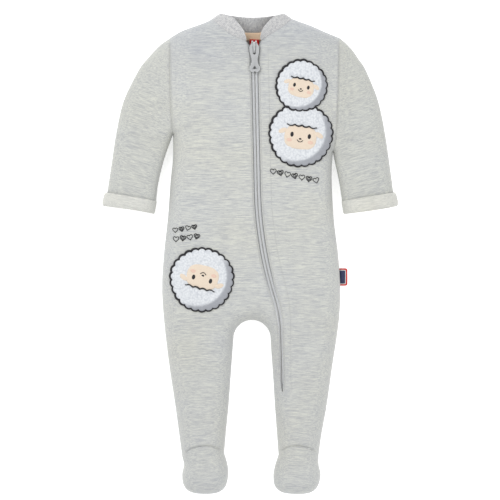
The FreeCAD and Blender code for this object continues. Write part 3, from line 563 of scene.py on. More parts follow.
def make_mosaic():
    mosaic = Mosaic()
    mosaic.line(np.vstack([SILHOUETTE, SILHOUETTE[:1]]))
    lines = [armhole(RIGHT), armhole(LEFT), vamp(RIGHT), vamp(LEFT), SLOT[RIGHT], SLOT[LEFT],
             FRONT_NECK[RIGHT], FRONT_NECK[LEFT], BACK_NECK]
    for path in lines:
        mosaic.line(path)
    for level in (HIP_CUT, KNEE_CUT):
        for side in (RIGHT, LEFT):
            mosaic.line(sided(straight((8, level), (130, level), 5.0), side))
    last = 0.0
    for distance in (0.3, 0.9, 1.8, 3.0, 4.6, 6.8, 9.8, 13.5, 18.0):
        for path in CLOSED_EDGES:
            mosaic.scatter(beside_path(path, -distance), 0.45 * (distance - last))
            mosaic.scatter(beside_path(path, distance), 0.45 * (distance - last))
        last = distance
    for path in lines:
        for distance in (0.6, 1.3, 2.3, 3.8, 5.8):
            for hand in (-1, 1):
                mosaic.scatter(beside_path(path, hand * distance), 0.45)
    spacing = 3.6
    low, high = SILHOUETTE.min(0), SILHOUETTE.max(0)
    rows = np.arange(low[1], high[1], spacing * 0.866)
    for number, y in enumerate(rows):
        xs = np.arange(low[0] + (number % 2) * spacing / 2, high[0], spacing)
        mosaic.scatter(np.column_stack([xs, np.full(len(xs), y)]), spacing * 0.55)
    vertices, _, faces, _, _, _ = geometry.delaunay_2d_cdt(
        [Vector(p) for p in mosaic.points], mosaic.edges, [], 0, 1e-4)
    plan = np.array([(v.x, v.y) for v in vertices])
    faces = np.array([f for f in faces if len(f) == 3])
    a, b, c = (plan[faces[:, k]] for k in range(3))
    area = (b[:, 0] - a[:, 0]) * (c[:, 1] - a[:, 1]) - (b[:, 1] - a[:, 1]) * (c[:, 0] - a[:, 0])
    faces = faces[np.abs(area) > 1e-5]
    area = area[np.abs(area) > 1e-5]
    faces[area < 0] = faces[area < 0][:, ::-1]
    middles = plan[faces].mean(1)
    keep = inside(middles, SILHOUETTE)
    return plan, faces[keep], middles[keep]


PLAN, TILES, MIDDLES = make_mosaic()
COUNT = len(PLAN)
ON_EDGE = closed_distance(PLAN) < 0.01
DOUBLE = ~ON_EDGE[TILES].all(1)
FRONT_TILES = ~inside(MIDDLES, FRONT_NECK_HOLE) & ~inside(MIDDLES, SLOT_LOOP) & DOUBLE
BACK_TILES = ~inside(MIDDLES, BACK_NECK_HOLE) & DOUBLE
BACK_NUMBER = np.where(ON_EDGE, np.arange(COUNT), np.arange(COUNT) + COUNT)
FULL_SET = np.vstack([
    np.column_stack([PLAN, top_height(PLAN)]),
    np.column_stack([PLAN, bottom_height(PLAN)]),
])
ALL_TRIANGLES = np.vstack([TILES[FRONT_TILES], BACK_NUMBER[TILES[BACK_TILES][:, ::-1]]])


def surface_normals(points, triangles):
    """Vertex normals of a surface, each face weighted by its angle at the vertex."""
    corners = points[triangles]
    face = np.cross(corners[:, 1] - corners[:, 0], corners[:, 2] - corners[:, 0])
    face /= np.maximum(np.linalg.norm(face, axis=1), 1e-12)[:, None]
    total = np.zeros_like(points)
    for k in range(3):
        a = corners[:, (k + 1) % 3] - corners[:, k]
        b = corners[:, (k + 2) % 3] - corners[:, k]
        cosine = (a * b).sum(1) / np.maximum(np.linalg.norm(a, axis=1) * np.linalg.norm(b, axis=1), 1e-12)
        angle = np.arccos(np.clip(cosine, -1, 1))
        np.add.at(total, triangles[:, k], face * angle[:, None])
    return total / np.maximum(np.linalg.norm(total, axis=1), 1e-12)[:, None]


NORMALS = surface_normals(FULL_SET, ALL_TRIANGLES)


# ---------------------------------------------------------------- making pieces


def add_mesh(name, points, faces, materials, slots=None, normals=None, grain=0.0, origin=(0, 0)):
    """A piece from points in millimetres, with its rest places kept for the knit; grain turns the knit."""
    mesh = bpy.data.meshes.new(name)
    points = np.asarray(points, float)
    mesh.from_pydata(((points + TOE) * MM).tolist(), [], [list(map(int, f)) for f in faces])
    mesh.validate(clean_customdata=False)
    for material in materials:
        mesh.materials.append(material)
    if slots is not None:
        mesh.polygons.foreach_set("material_index", np.asarray(slots, np.int32))
    mesh.polygons.foreach_set("use_smooth", np.ones(len(mesh.polygons), bool))
    if normals is not None:
        mesh.normals_split_custom_set(normals)
    turn, x, y = math.radians(grain), points[:, 0] - origin[0], points[:, 1] - origin[1]
    rest = np.column_stack([x * math.cos(turn) + y * math.sin(turn), y * math.cos(turn) - x * math.sin(turn),
                            points[:, 2]])
    attribute = mesh.attributes.new("rest", "FLOAT_VECTOR", "POINT")
    attribute.data.foreach_set("vector", rest.astype(np.float32).ravel())
    mesh.update()
    piece = bpy.data.objects.new(name, mesh)
    bpy.context.scene.collection.objects.link(piece)
    return piece


def cloth_piece(name, triangles, materials, grain=0.0, thickness=CLOTH):
    """A piece of the suit's surface with the cloth's thickness, a reverse side and a rim."""
    used, local = np.unique(triangles, return_inverse=True)
    local = local.reshape(-1, 3)
    outer = FULL_SET[used]
    normals = NORMALS[used]
    inner = outer - normals * thickness
    count = len(used)
    edges = np.concatenate([local[:, [0, 1]], local[:, [1, 2]], local[:, [2, 0]]])
    known = {(a, b) for a, b in edges.tolist()}
    rim = [(b, a, a + count, b + count) for a, b in edges.tolist() if (b, a) not in known]
    faces = local.tolist() + (local[:, ::-1] + count).tolist() + rim
    slots = [0] * len(local) + [1] * len(local) + [1] * len(rim)
    loops = np.vstack([normals[local.ravel()], -normals[local[:, ::-1].ravel()], np.zeros((4 * len(rim), 3))])
    return add_mesh(name, np.vstack([outer, inner]), faces, materials, slots, loops.tolist(), grain)


def ribbon(sections):
    """Faces over a grid of points, sections by points along each, closed round each section and at both ends."""
    grid = np.asarray(sections, float)
    rows, cols = grid.shape[:2]
    faces = []
    for r in range(rows - 1):
        for c in range(cols):
            d = (c + 1) % cols
            faces.append((r * cols + c, r * cols + d, (r + 1) * cols + d, (r + 1) * cols + c))
    faces.append(tuple(range(cols))[::-1])
    faces.append(tuple((rows - 1) * cols + c for c in range(cols)))
    return grid.reshape(-1, 3), faces


def tube(path, radius, sides=8, flat=1.0):
    """Points and faces of a round cord along a path, with closed ends; flat squeezes it in Z."""
    path = np.asarray(path, float)
    way = np.gradient(path, axis=0)
    way /= np.maximum(np.linalg.norm(way, axis=1), 1e-9)[:, None]
    across = np.cross(way, [0, 0, 1.0])
    across /= np.maximum(np.linalg.norm(across, axis=1), 1e-9)[:, None]
    up = np.cross(across, way)
    radius = np.broadcast_to(np.asarray(radius, float), len(path))
    angles = np.arange(sides) * 2 * math.pi / sides
    rings = (path[:, None] + radius[:, None, None] * (across[:, None] * np.cos(angles)[None, :, None]
                                                      + flat * up[:, None] * np.sin(angles)[None, :, None]))
    return ribbon(rings)


class Heap:
    """Several shapes gathered into one piece."""

    def __init__(self):
        self.points, self.faces, self.slots, self.count = [], [], [], 0

    def add(self, shape, slot=0):
        points, faces = shape
        self.points.append(np.asarray(points, float))
        self.faces += [tuple(int(v) + self.count for v in face) for face in faces]
        self.slots += [slot] * len(faces)
        self.count += len(points)

    def piece(self, name, materials, **options):
        return add_mesh(name, np.vstack(self.points), self.faces, materials, self.slots, **options)


def stitches(path, length=2.7, gap=1.0, radius=0.34):
    """A row of thread stitches lying on a path in space."""
    path = np.asarray(path, float)
    reach = reach_along(path)
    heap = Heap()
    for start in np.arange(0.5, reach[-1] - length, length + gap):
        marks = start + length * np.array([0, 0.12, 0.35, 0.65, 0.88, 1])
        places = np.column_stack([np.interp(marks, reach, path[:, k]) for k in range(3)])
        dip = np.array([-0.35, 0.0, 0.12, 0.12, 0.0, -0.35])
        places[:, 2] += dip
        heap.add(tube(places, radius * np.array([0.5, 0.9, 1, 1, 0.9, 0.5]), 6))
    return heap


def on_front(points, lift=0.0):
    points = np.asarray(points, float)
    return np.column_stack([points, top_height(points) + lift])


def replace(piece, slot, *nodes):
    if nodes:
        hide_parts(*nodes)


# ---------------------------------------------------------------- materials


def linear(*rgb):
    return tuple((c / 255 / 12.92) if c <= 10 else ((c / 255 + 0.055) / 1.055) ** 2.4 for c in rgb) + (1.0,)


class Shader:
    """A material's node tree, with short calls for its nodes."""

    def __init__(self, name):
        self.material = bpy.data.materials.new(name)
        self.material.use_nodes = True
        self.tree = self.material.node_tree
        self.principled = self.tree.nodes["Principled BSDF"]

    def node(self, kind, inputs=(), **settings):
        node = self.tree.nodes.new(kind)
        for key, value in settings.items():
            setattr(node, key, value)
        for key, value in dict(inputs).items():
            if isinstance(value, bpy.types.NodeSocket):
                self.tree.links.new(value, node.inputs[key])
            else:
                node.inputs[key].default_value = value
        return node

    def fixed(self, **values):
        """Values that are the same all over the surface."""
        for key, value in values.items():
            self.principled.inputs[key.replace("_", " ")].default_value = value

    def link(self, socket, name):
        self.tree.links.new(socket, self.principled.inputs[name])

    def math(self, operation, a, b=0.0, c=0.0):
        return self.node("ShaderNodeMath", {0: a, 1: b, 2: c}, operation=operation).outputs[0]

    def mix(self, share, a, b, blend="MIX"):
        node = self.node("ShaderNodeMix", data_type="RGBA", blend_type=blend)
        for index, value in ((0, share), (6, a), (7, b)):
            if isinstance(value, bpy.types.NodeSocket):
                self.tree.links.new(value, node.inputs[index])
            else:
                node.inputs[index].default_value = value
        return node.outputs[2]

    def place(self, scale=(1, 1, 1)):
        """Rest places in millimetres, scaled."""
        rest = self.node("ShaderNodeAttribute", attribute_name="rest").outputs["Vector"]
        return self.node("ShaderNodeVectorMath", {0: rest, 1: scale}, operation="MULTIPLY").outputs[0]

    def noise(self, scale, detail=3.0, rough=0.55):
        return self.node("ShaderNodeTexNoise", {"Vector": self.place(scale), "Scale": 1.0, "Detail": detail,
                                                "Roughness": rough}).outputs["Fac"]

    def ramp(self, value, stops):
        node = self.node("ShaderNodeValToRGB", {"Fac": value})
        elements = node.color_ramp.elements
        elements[0].position, elements[0].color = stops[0]
        elements[1].position, elements[1].color = stops[-1]
        for position, colour in stops[1:-1]:
            elements.new(position).color = colour
        return node.outputs["Color"]

    def bump(self, height, strength, distance, normal=None):
        inputs = {"Height": height, "Strength": strength, "Distance": distance}
        if normal is not None:
            inputs["Normal"] = normal
        return self.node("ShaderNodeBump", inputs).outputs["Normal"]


def knit(name, colour, cream, dark, wale=1.25, course=1.0, strength=0.5, streak=1.0):
    """Heather jersey: level streaks of blended fibres over fine stitches."""
    shader = Shader(name)
    streaks = shader.noise((0.075, 1.05, 1.05), 4.0, 0.7)
    long_streaks = shader.noise((0.034, 0.36, 0.36), 2.0)
    fibres = shader.noise((0.45, 1.9, 1.9), 3.0, 0.75)
    patches = shader.noise((0.010, 0.014, 0.014), 1.0)
    tone = shader.ramp(streaks, [(0.38, dark), (0.5, colour), (0.61, cream)])
    slow = shader.ramp(long_streaks, [(0.3, dark), (0.5, colour), (0.7, cream)])
    tone = shader.mix(0.24, tone, slow)
    fleck = shader.ramp(fibres, [(0.26, linear(140, 140, 142)), (0.5, linear(255, 255, 255))])
    tone = shader.mix(0.26 * streak, tone, fleck, "MULTIPLY")
    cool = shader.mix(patches, linear(243, 246, 255), linear(255, 254, 246))
    tone = shader.mix(0.7, tone, cool, "MULTIPLY")
    split = shader.node("ShaderNodeSeparateXYZ", {0: shader.place()})
    # Painted shade: the knit is darker and a little blue towards the neck, on the front and the back alike.
    neck_shade = shader.node("ShaderNodeMapRange", {0: split.outputs[1], 1: NECK_SHADE_LOW, 2: NECK_SHADE_HIGH, 3: 0.0, 4: 1.0},
                       interpolation_type="SMOOTHSTEP").outputs[0]
    tone = shader.mix(neck_shade, tone, shader.mix(1.0, tone, linear(243, 244, 249), "MULTIPLY"))
    # Painted shade: the legs are a little darker than the torso, fading out above the hips.
    lower = shader.node("ShaderNodeMapRange", {0: split.outputs[1], 1: HIP_CUT - 90, 2: HIP_CUT + 90, 3: 1.0, 4: 0.0},
                        interpolation_type="SMOOTHSTEP").outputs[0]
    tone = shader.mix(lower, tone, shader.mix(1.0, tone, linear(251, 251, 252), "MULTIPLY"))
    shader.link(tone, "Base Color")
    x, y = split.outputs[0], split.outputs[1]
    wales = shader.math("SINE", shader.math("MULTIPLY", x, 2 * math.pi / wale))
    shifted = shader.math("MULTIPLY_ADD", wales, 0.5, shader.math("MULTIPLY", y, 2 * math.pi / course))
    courses = shader.math("SINE", shifted)
    loops = shader.math("MULTIPLY_ADD", wales, 0.6, shader.math("MULTIPLY", courses, 0.55))
    fuzz = shader.noise((1.4, 1.8, 1.8), 3.0, 0.7)
    first = shader.bump(loops, strength * 0.35, 0.00022)
    second = shader.bump(fuzz, strength * 0.6, 0.00045, first)
    shader.link(shader.bump(streaks, strength * 0.5, 0.0009, second), "Normal")
    rough = shader.math("MULTIPLY_ADD", fibres, 0.12, 0.84)
    shader.link(rough, "Roughness")
    shader.fixed(Sheen_Weight=0.22, Sheen_Roughness=0.55, Specular_IOR_Level=0.22)
    return shader.material


def rib(name, colour, dark, pitch=2.1):
    """Ribbed knit: the rib runs with the rest places' second axis."""
    shader = Shader(name)
    flecks = shader.noise((0.42, 0.4, 0.42), 4.0, 0.72)
    tone = shader.ramp(flecks, [(0.34, dark), (0.52, colour), (0.7, linear(216, 216, 214))])
    split = shader.node("ShaderNodeSeparateXYZ", {0: shader.place()})
    ribs = shader.math("SINE", shader.math("MULTIPLY", split.outputs[0], 2 * math.pi / pitch))
    # Painted shade: the colour is darker in the rib's grooves, where its bump is low.
    groove = shader.ramp(ribs, [(0.0, linear(226, 226, 226)), (0.5, linear(255, 255, 255))])
    shader.link(shader.mix(0.3, tone, groove, "MULTIPLY"), "Base Color")
    first = shader.bump(ribs, 0.25, 0.0004)
    shader.link(shader.bump(flecks, 0.35, 0.0006, first), "Normal")
    shader.fixed(Roughness=0.9, Sheen_Weight=0.2, Sheen_Roughness=0.55, Specular_IOR_Level=0.2)
    return shader.material


def woven(name, colour, dark, pitch=0.9, sheen=0.1, rough=0.8):
    """A fine woven tape or label."""
    shader = Shader(name)
    split = shader.node("ShaderNodeSeparateXYZ", {0: shader.place()})
    warp = shader.math("SINE", shader.math("MULTIPLY", split.outputs[0], 2 * math.pi / pitch))
    weft = shader.math("SINE", shader.math("MULTIPLY", split.outputs[1], 2 * math.pi / pitch))
    weave = shader.math("MULTIPLY", warp, weft)
    tone = shader.mix(shader.math("MULTIPLY_ADD", weave, 0.25, 0.5), dark, colour)
    wear = shader.noise((0.12, 0.12, 0.12), 3.0)
    tone = shader.mix(0.25, tone, shader.ramp(wear, [(0.3, dark), (0.65, colour)]))
    shader.link(tone, "Base Color")
    shader.link(shader.bump(weave, 0.3, 0.0002), "Normal")
    shader.fixed(Roughness=rough, Sheen_Weight=sheen, Specular_IOR_Level=0.25)
    return shader.material


def fleece(name):
    """Short curly pile."""
    shader = Shader(name)
    curls = shader.node("ShaderNodeTexVoronoi", {"Vector": shader.place((0.42, 0.42, 0.42)), "Scale": 1.0,
                                                 "Randomness": 1.0}, feature="SMOOTH_F1").outputs["Distance"]
    fine = shader.noise((0.9, 0.9, 0.9), 4.0, 0.7)
    # Painted shade: the white pile is darker between the curls, where the bump is low.
    tone = shader.ramp(curls, [(0.15, linear(224, 227, 230)), (0.75, linear(196, 200, 206))])
    shade = shader.node("ShaderNodeAttribute", attribute_name="shade").outputs["Fac"]
    tone = shader.mix(shade, tone, linear(146, 149, 156))
    shader.link(tone, "Base Color")
    first = shader.bump(shader.math("MULTIPLY", curls, -1.0), 0.4, 0.0009)
    shader.link(shader.bump(fine, 0.35, 0.0007, first), "Normal")
    shader.fixed(Roughness=0.95, Sheen_Weight=0.4, Sheen_Roughness=0.5, Specular_IOR_Level=0.15)
    return shader.material


def felt(name, colour, dark):
    shader = Shader(name)
    pile = shader.noise((0.9, 0.9, 0.9), 5.0, 0.7)
    slow = shader.noise((0.07, 0.07, 0.07), 2.0)
    tone = shader.mix(shader.ramp(pile, [(0.3, (0, 0, 0, 1)), (0.7, (1, 1, 1, 1))]), dark, colour)
    tone = shader.mix(0.35, tone, shader.mix(slow, dark, colour))
    shader.link(tone, "Base Color")
    shader.link(shader.bump(pile, 0.4, 0.0005), "Normal")
    shader.fixed(Roughness=0.95, Sheen_Weight=0.3, Specular_IOR_Level=0.15)
    return shader.material


def thread(name, colour, dark):
    """Satin stitches: close strands across the row."""
    shader = Shader(name)
    strands = shader.noise((1.6, 1.6, 1.6), 2.0, 0.5)
    tone = shader.mix(strands, dark, colour)
    shader.link(tone, "Base Color")
    shader.link(shader.bump(strands, 0.5, 0.0004), "Normal")
    shader.fixed(Roughness=0.55, Sheen_Weight=0.1, Specular_IOR_Level=0.35)
    return shader.material


def lacquer(name, colour, dark, rough=0.34, metal=0.55):
    """Sprayed zip metal with worn edges."""
    shader = Shader(name)
    orange_peel = shader.noise((1.2, 1.2, 1.2), 3.0)
    slow = shader.noise((0.2, 0.2, 0.2), 2.0)
    edge = shader.node("ShaderNodeNewGeometry").outputs["Pointiness"]
    wear = shader.ramp(edge, [(0.50, (0, 0, 0, 1)), (0.60, (1, 1, 1, 1))])
    tone = shader.mix(slow, dark, colour)
    tone = shader.mix(wear, tone, linear(226, 227, 228))
    shader.link(tone, "Base Color")
    shader.link(shader.math("MULTIPLY_ADD", orange_peel, 0.16, rough - 0.08), "Roughness")
    shader.link(shader.bump(orange_peel, 0.12, 0.0002), "Normal")
    shader.fixed(Metallic=metal)
    return shader.material


def nylon(name, colour, dark):
    shader = Shader(name)
    slow = shader.noise((0.3, 0.3, 0.3), 2.0)
    shader.link(shader.mix(slow, dark, colour), "Base Color")
    shader.link(shader.bump(shader.noise((2, 2, 2), 2.0), 0.15, 0.0002), "Normal")
    shader.fixed(Roughness=0.42, Specular_IOR_Level=0.45)
    return shader.material


GREY, CREAM, DARK = linear(196, 197, 194), linear(214, 215, 206), linear(172, 174, 177)
M = {
    "jersey": knit("jersey", GREY, CREAM, DARK),
    "jersey_leg": knit("jersey_leg", GREY, CREAM, DARK),
    # The sleeves' jersey is the same knit made a little darker: painted shade.
    "jersey_sleeve": knit("jersey_sleeve", linear(193, 194, 190), linear(211, 212, 203), linear(168, 170, 172)),
    "reverse": knit("jersey_reverse", linear(208, 206, 198), linear(220, 217, 207), linear(190, 188, 182), 1.4, 1.4,
                    0.7),
    "cuff": knit("cuff_reverse", linear(210, 210, 204), linear(223, 222, 214), linear(192, 192, 188), 1.5, 1.3, 0.9,
                 0.7),
    "collar": rib("collar_rib", linear(196, 196, 196), linear(166, 167, 172)),
    "facing": woven("facing_cotton", linear(250, 222, 192), linear(228, 196, 164), 1.3),
    "red": woven("label_red", linear(232, 44, 36), linear(190, 28, 26), 0.8, 0.05, 0.55),
    "white": woven("label_white", linear(236, 236, 233), linear(214, 214, 212), 0.7, 0.05, 0.5),
    "navy": woven("label_navy", linear(70, 76, 110), linear(40, 44, 70), 0.7, 0.05, 0.55),
    "tape": woven("zip_tape", linear(188, 190, 191), linear(164, 166, 168), 1.1),
    "coil": nylon("zip_coil", linear(232, 234, 235), linear(214, 216, 218)),
    "metal": lacquer("zip_metal", linear(176, 178, 180), linear(158, 160, 162)),
    "fleece": fleece("fleece"),
    "felt": felt("felt_face", linear(232, 217, 199), linear(214, 198, 180)),
    "blush": felt("felt_blush", linear(230, 200, 184), linear(214, 184, 168)),
    "black": thread("thread_black", linear(40, 39, 44), linear(14, 14, 17)),
    "grey_thread": thread("thread_grey", linear(206, 207, 205), linear(178, 180, 180)),
}


# ---------------------------------------------------------------- the suit's panels


def side_of_zip(points):
    """-1 on the right of the zip's line and +1 on its left."""
    return near(points, HALF_SPLIT)[1]


def limb_poly(side):
    """The loop round a sleeve."""
    return np.vstack([armhole(side), sleeve_inner(side)[::-1], cuff_run(side)[::-1], sleeve_outer(side)[::-1]])


def foot_poly(side):
    return np.vstack([vamp(side), foot_run(side)[::-1]])


def make_panels():
    """Cuts the whole surface into the panels it is sewn from, and the legs into thigh, shin and foot pieces."""
    x, y = MIDDLES[:, 0], MIDDLES[:, 1]
    sleeves = {side: inside(MIDDLES, limb_poly(side)) for side in (RIGHT, LEFT)}
    feet = {side: inside(MIDDLES, foot_poly(side)) & (y < 75) for side in (RIGHT, LEFT)}
    trunk = ~(sleeves[RIGHT] | sleeves[LEFT])
    torso = trunk & (y > HIP_CUT)
    zip_side = side_of_zip(MIDDLES)

    def front(mask):
        return TILES[mask & FRONT_TILES]

    def back(mask):
        return BACK_NUMBER[TILES[mask & BACK_TILES][:, ::-1]]

    jersey, leg, arm = ([M[key], M["reverse"]] for key in ("jersey", "jersey_leg", "jersey_sleeve"))
    for side, name in NAMES.items():
        piece = cloth_piece(f"front_{name}_cloth", front(torso & (zip_side == side)), jersey)
        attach(piece, "torso")
        replace(piece, "jersey", f"front_{name}_panel")
    piece = cloth_piece("back_cloth", back(torso), jersey)
    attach(piece, "torso")
    replace(piece, "jersey", "back_panel")
    for side, name in NAMES.items():
        sleeve = cloth_piece(f"{name}_sleeve_cloth", np.vstack([front(sleeves[side]), back(sleeves[side])]), arm,
                             grain=side * 16.0)
        bend_with_sleeve(sleeve)
        replace(sleeve, "jersey_sleeve", f"{name}_sleeve_head", f"{name}_sleeve")
        here = trunk & (y <= HIP_CUT) & (np.sign(x) == side)
        thigh = here & (y > KNEE_CUT)
        shin = here & (y <= KNEE_CUT) & ~feet[side]
        piece = cloth_piece(f"{name}_thigh_cloth", np.vstack([front(thigh), back(thigh)]), leg)
        bend_with_leg(piece)
        replace(piece, "jersey_leg", f"{name}_leg_front", f"{name}_leg_back")
        piece = cloth_piece(f"{name}_shin_cloth", np.vstack([front(shin), back(shin)]), leg)
        bend_with_foot(piece)
        replace(piece, "jersey_leg")
        piece = cloth_piece(f"{name}_foot_upper_cloth", front(feet[side]), leg, grain=side * -5.0)
        bend_with_foot(piece)
        replace(piece, "jersey_leg", f"{name}_foot_upper")
        piece = cloth_piece(f"{name}_foot_sole_cloth", back(feet[side]), leg)
        bend_with_foot(piece)
        replace(piece, "jersey_leg", f"{name}_foot_sole")


def bend_with_leg(piece):
    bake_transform(piece)


def bend_with_foot(piece):
    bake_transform(piece)


def bend_with_sleeve(piece):
    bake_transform(piece)


make_panels()


# ---------------------------------------------------------------- cuffs


def section(width, height, lift, count=40):
    """A flattened ring: across and height of points round it, as the sleeve's cloth has at the cuff."""
    half = width / 2
    share = np.cos(np.linspace(0, math.pi, count // 2 + 1))
    across = half * share
    away = half - np.abs(across)
    middle = height * SEAM_SHARE
    top = middle + (height - middle) * edge_profile(away)
    low = middle - middle * edge_profile(away, EDGE_ROUND - 4)
    upper = np.column_stack([across, top + lift])
    lower = np.column_stack([across[::-1], low[::-1] + lift])
    return np.vstack([upper, lower[1:-1]])


def make_cuff(side):
    """A band turned back over the sleeve's end: outer side, fold at the wrist and inner side."""
    outer, inner = np.array(CUFF_OUTER[side]), np.array(CUFF_INNER[side])
    across = outer - inner
    width = np.linalg.norm(across)
    across /= width
    down = np.array([across[1], -across[0]]) * side
    middle = (outer + inner) / 2
    height = HEIGHTS["sleeve"]
    # along the arm, extra size all round: inside the sleeve, round the fold and up the outside
    profile = [(-9.0, -2.4), (4.0, -2.4), (13.0, -2.2), (15.6, -1.2), (16.8, 0.5), (16.4, 2.2), (14.6, 3.2),
               (11.0, 3.4), (6.0, 3.1), (2.0, 2.9), (0.2, 2.4), (-0.5, 1.5), (-0.4, 0.6)]
    sections = []
    for along, grow in profile:
        ring = section(width + 1.2 * grow, height + 2 * grow, -grow + 1.2) + [0.5 * grow, 0]
        ripple = 0.45 * np.sin(ring[:, 0] / 6.5 + along * 0.12 + side) * (grow > 0)
        slant = 1.1 * np.sin(ring[:, 0] / 23.0 + side)
        place = middle + across * ring[:, :1] + down * (along + slant * (along > 0))[:, None]
        sections.append(np.column_stack([place, np.maximum(ring[:, 1] + ripple, 1.3)]))
    grid = np.array(sections)
    rows, cols = grid.shape[:2]
    faces = [(r * cols + c, (r + 1) * cols + c, (r + 1) * cols + (c + 1) % cols, r * cols + (c + 1) % cols)
             for r in range(rows - 1) for c in range(cols)]
    if side == LEFT:
        faces = [face[::-1] for face in faces]
    name = NAMES[side]
    piece = add_mesh(f"{name}_cuff_cloth", grid.reshape(-1, 3), faces, [M["cuff"]], grain=side * 10.0)
    solid = piece.modifiers.new("cloth", "SOLIDIFY")
    solid.thickness = 0.9 * MM
    solid.offset = -1
    subdivide(piece, 1)
    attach(piece, f"{name}_sleeve")
    replace(piece, "cuff_lining", f"{name}_cuff")
    return piece


def subdivide(piece, levels):
    modifier = piece.modifiers.new("smooth", "SUBSURF")
    modifier.levels = levels
    modifier.render_levels = levels


for arm in (RIGHT, LEFT):
    make_cuff(arm)


# ---------------------------------------------------------------- collar and neck pieces


COLLAR_SEAM = {
    RIGHT: [(-6.2, 608.2), (-12, 611.6), (-23.5, 617.1), (-36.9, 626.3), NECK[RIGHT]],
    LEFT: [(13.4, 609.6), (25, 618.3), (40.4, 627.9), NECK[LEFT]],
}
COLLAR_EDGE = {
    RIGHT: [(-6.0, 612.0), (-9.7, 623.2), (-16.2, 632.2), (-25.5, 641.6), (-41.0, COLLAR_TIP_Y)],
    LEFT: [(12.2, 613.5), (15.2, 624.4), (22.3, 634), (32.0, 642.8), (44.6, COLLAR_TIP_Y)],
}


def spaced(points, shares):
    """Places at these shares of a curve's length."""
    path = smooth(points, 2.0)
    reach = reach_along(path)
    return np.column_stack([np.interp(shares * reach[-1], reach, path[:, k]) for k in (0, 1)])


def collar_stations(side):
    """Seam point, upper edge point and outward direction of the band, from the zip round to mid-back."""
    front, back = np.linspace(0, 1, 30), np.linspace(0, 1, 26)[1:]
    seam, edge = spaced(COLLAR_SEAM[side], front), spaced(COLLAR_EDGE[side], front)
    seam_z = top_height(seam) - 0.2
    edge_z = seam_z + 6.0 - 3.0 * ease(front, 0.1, 0.9)
    middle = (CROTCH_X + 0.6, 641.2)
    tip = COLLAR_EDGE[side][-1]
    dip = [(middle[0] + share * (tip[0] - middle[0]), middle[1] + share**2 * (tip[1] - middle[1]))
           for share in (1.0, 0.8, 0.6, 0.4, 0.2, 0.0)]
    neck = [point for point in BACK_NECK[::-side][::6] if point[0] * side > 4 * side * side]
    back_seam = spaced([NECK[side], *neck[1:], (middle[0], 621.5)], back)
    back_edge = spaced(dip, back)
    back_seam_z = seam_z[-1] + (bottom_height(back_seam) + 1.0 - seam_z[-1]) * ease(back, 0, 0.5)
    back_edge_z = edge_z[-1] + (NECK_LIFT + 11.0 - edge_z[-1]) * ease(back, 0, 0.5)
    seam3 = np.vstack([np.column_stack([seam, seam_z]), np.column_stack([back_seam, back_seam_z])])
    edge3 = np.vstack([np.column_stack([edge, edge_z]), np.column_stack([back_edge, back_edge_z])])
    turn = math.pi * np.concatenate([0.5 * ease(front, 0.86, 1.0), 0.5 + 0.5 * ease(back, 0, 0.14)])
    outward = np.column_stack([side * np.sin(turn), 0.3 * np.sin(turn), np.cos(turn)])
    return seam3, edge3, outward / np.linalg.norm(outward, axis=1)[:, None]


def make_collar():
    """A band of rib as thick as its two layers, in one piece lofted from the zip round the neck and back."""
    right, left = collar_stations(RIGHT), collar_stations(LEFT)
    seam = np.vstack([right[0], left[0][::-1][1:]])
    edge = np.vstack([right[1], left[1][::-1][1:]])
    outward = np.vstack([right[2], left[2][::-1][1:]])
    half = 1.15
    # share of the way from seam to upper edge, and side of the band, round its section
    ring = [(-0.06, 0.9), (0.1, 1.0), (0.3, 1.12), (0.55, 1.15), (0.8, 1.1), (0.94, 0.9), (1.0, 0.45), (1.02, 0.0),
            (1.0, -0.45), (0.94, -0.85), (0.8, -0.95), (0.5, -0.95), (0.2, -0.95), (-0.06, -0.9)]
    sections = []
    for low, high, out in zip(seam, edge, outward):
        sections.append([low + (high - low) * share + out * half * depth for share, depth in ring])
    grid = np.array(sections)
    reach = reach_along((seam + edge) / 2)
    points, faces = ribbon(grid)
    piece = add_mesh("collar_cloth", points, faces, [M["collar"]])
    rest = np.column_stack([np.repeat(reach, len(ring)), np.tile([s * 14 for s, _ in ring], len(seam)),
                            np.zeros(len(points))])
    piece.data.attributes["rest"].data.foreach_set("vector", rest.astype(np.float32).ravel())
    fix_normals(piece)
    subdivide(piece, 2)
    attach(piece, "torso")
    replace(piece, "collar_rib", "collar_band")


def fix_normals(piece):
    bm = bmesh.new()
    bm.from_mesh(piece.data)
    bmesh.ops.recalc_face_normals(bm, faces=bm.faces)
    bm.to_mesh(piece.data)
    bm.free()
    piece.data.update()


def patch_on_back(name, corners_fn, rows, cols, lift, thickness, material, slot, node, bulge=0.0):
    """A strip lying inside the back of the suit; corners_fn gives a place for two shares."""
    upper = []
    for r in range(rows):
        for c in range(cols):
            upper.append(corners_fn(r / (rows - 1), c / (cols - 1)))
    plan = np.array(upper)
    base = bottom_height(plan) + CLOTH + lift
    shares = np.array([(r / (rows - 1), c / (cols - 1)) for r in range(rows) for c in range(cols)])
    base += bulge * np.sin(shares[:, 0] * math.pi * 0.5) ** 2
    points = np.column_stack([plan, base])
    faces = [(r * cols + c, r * cols + c + 1, (r + 1) * cols + c + 1, (r + 1) * cols + c)
             for r in range(rows - 1) for c in range(cols - 1)]
    piece = add_mesh(name, points, faces, [material])
    fix_normals(piece)
    solid = piece.modifiers.new("cloth", "SOLIDIFY")
    solid.thickness = thickness * MM
    solid.offset = 0
    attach(piece, "torso")
    replace(piece, slot, node)
    return piece


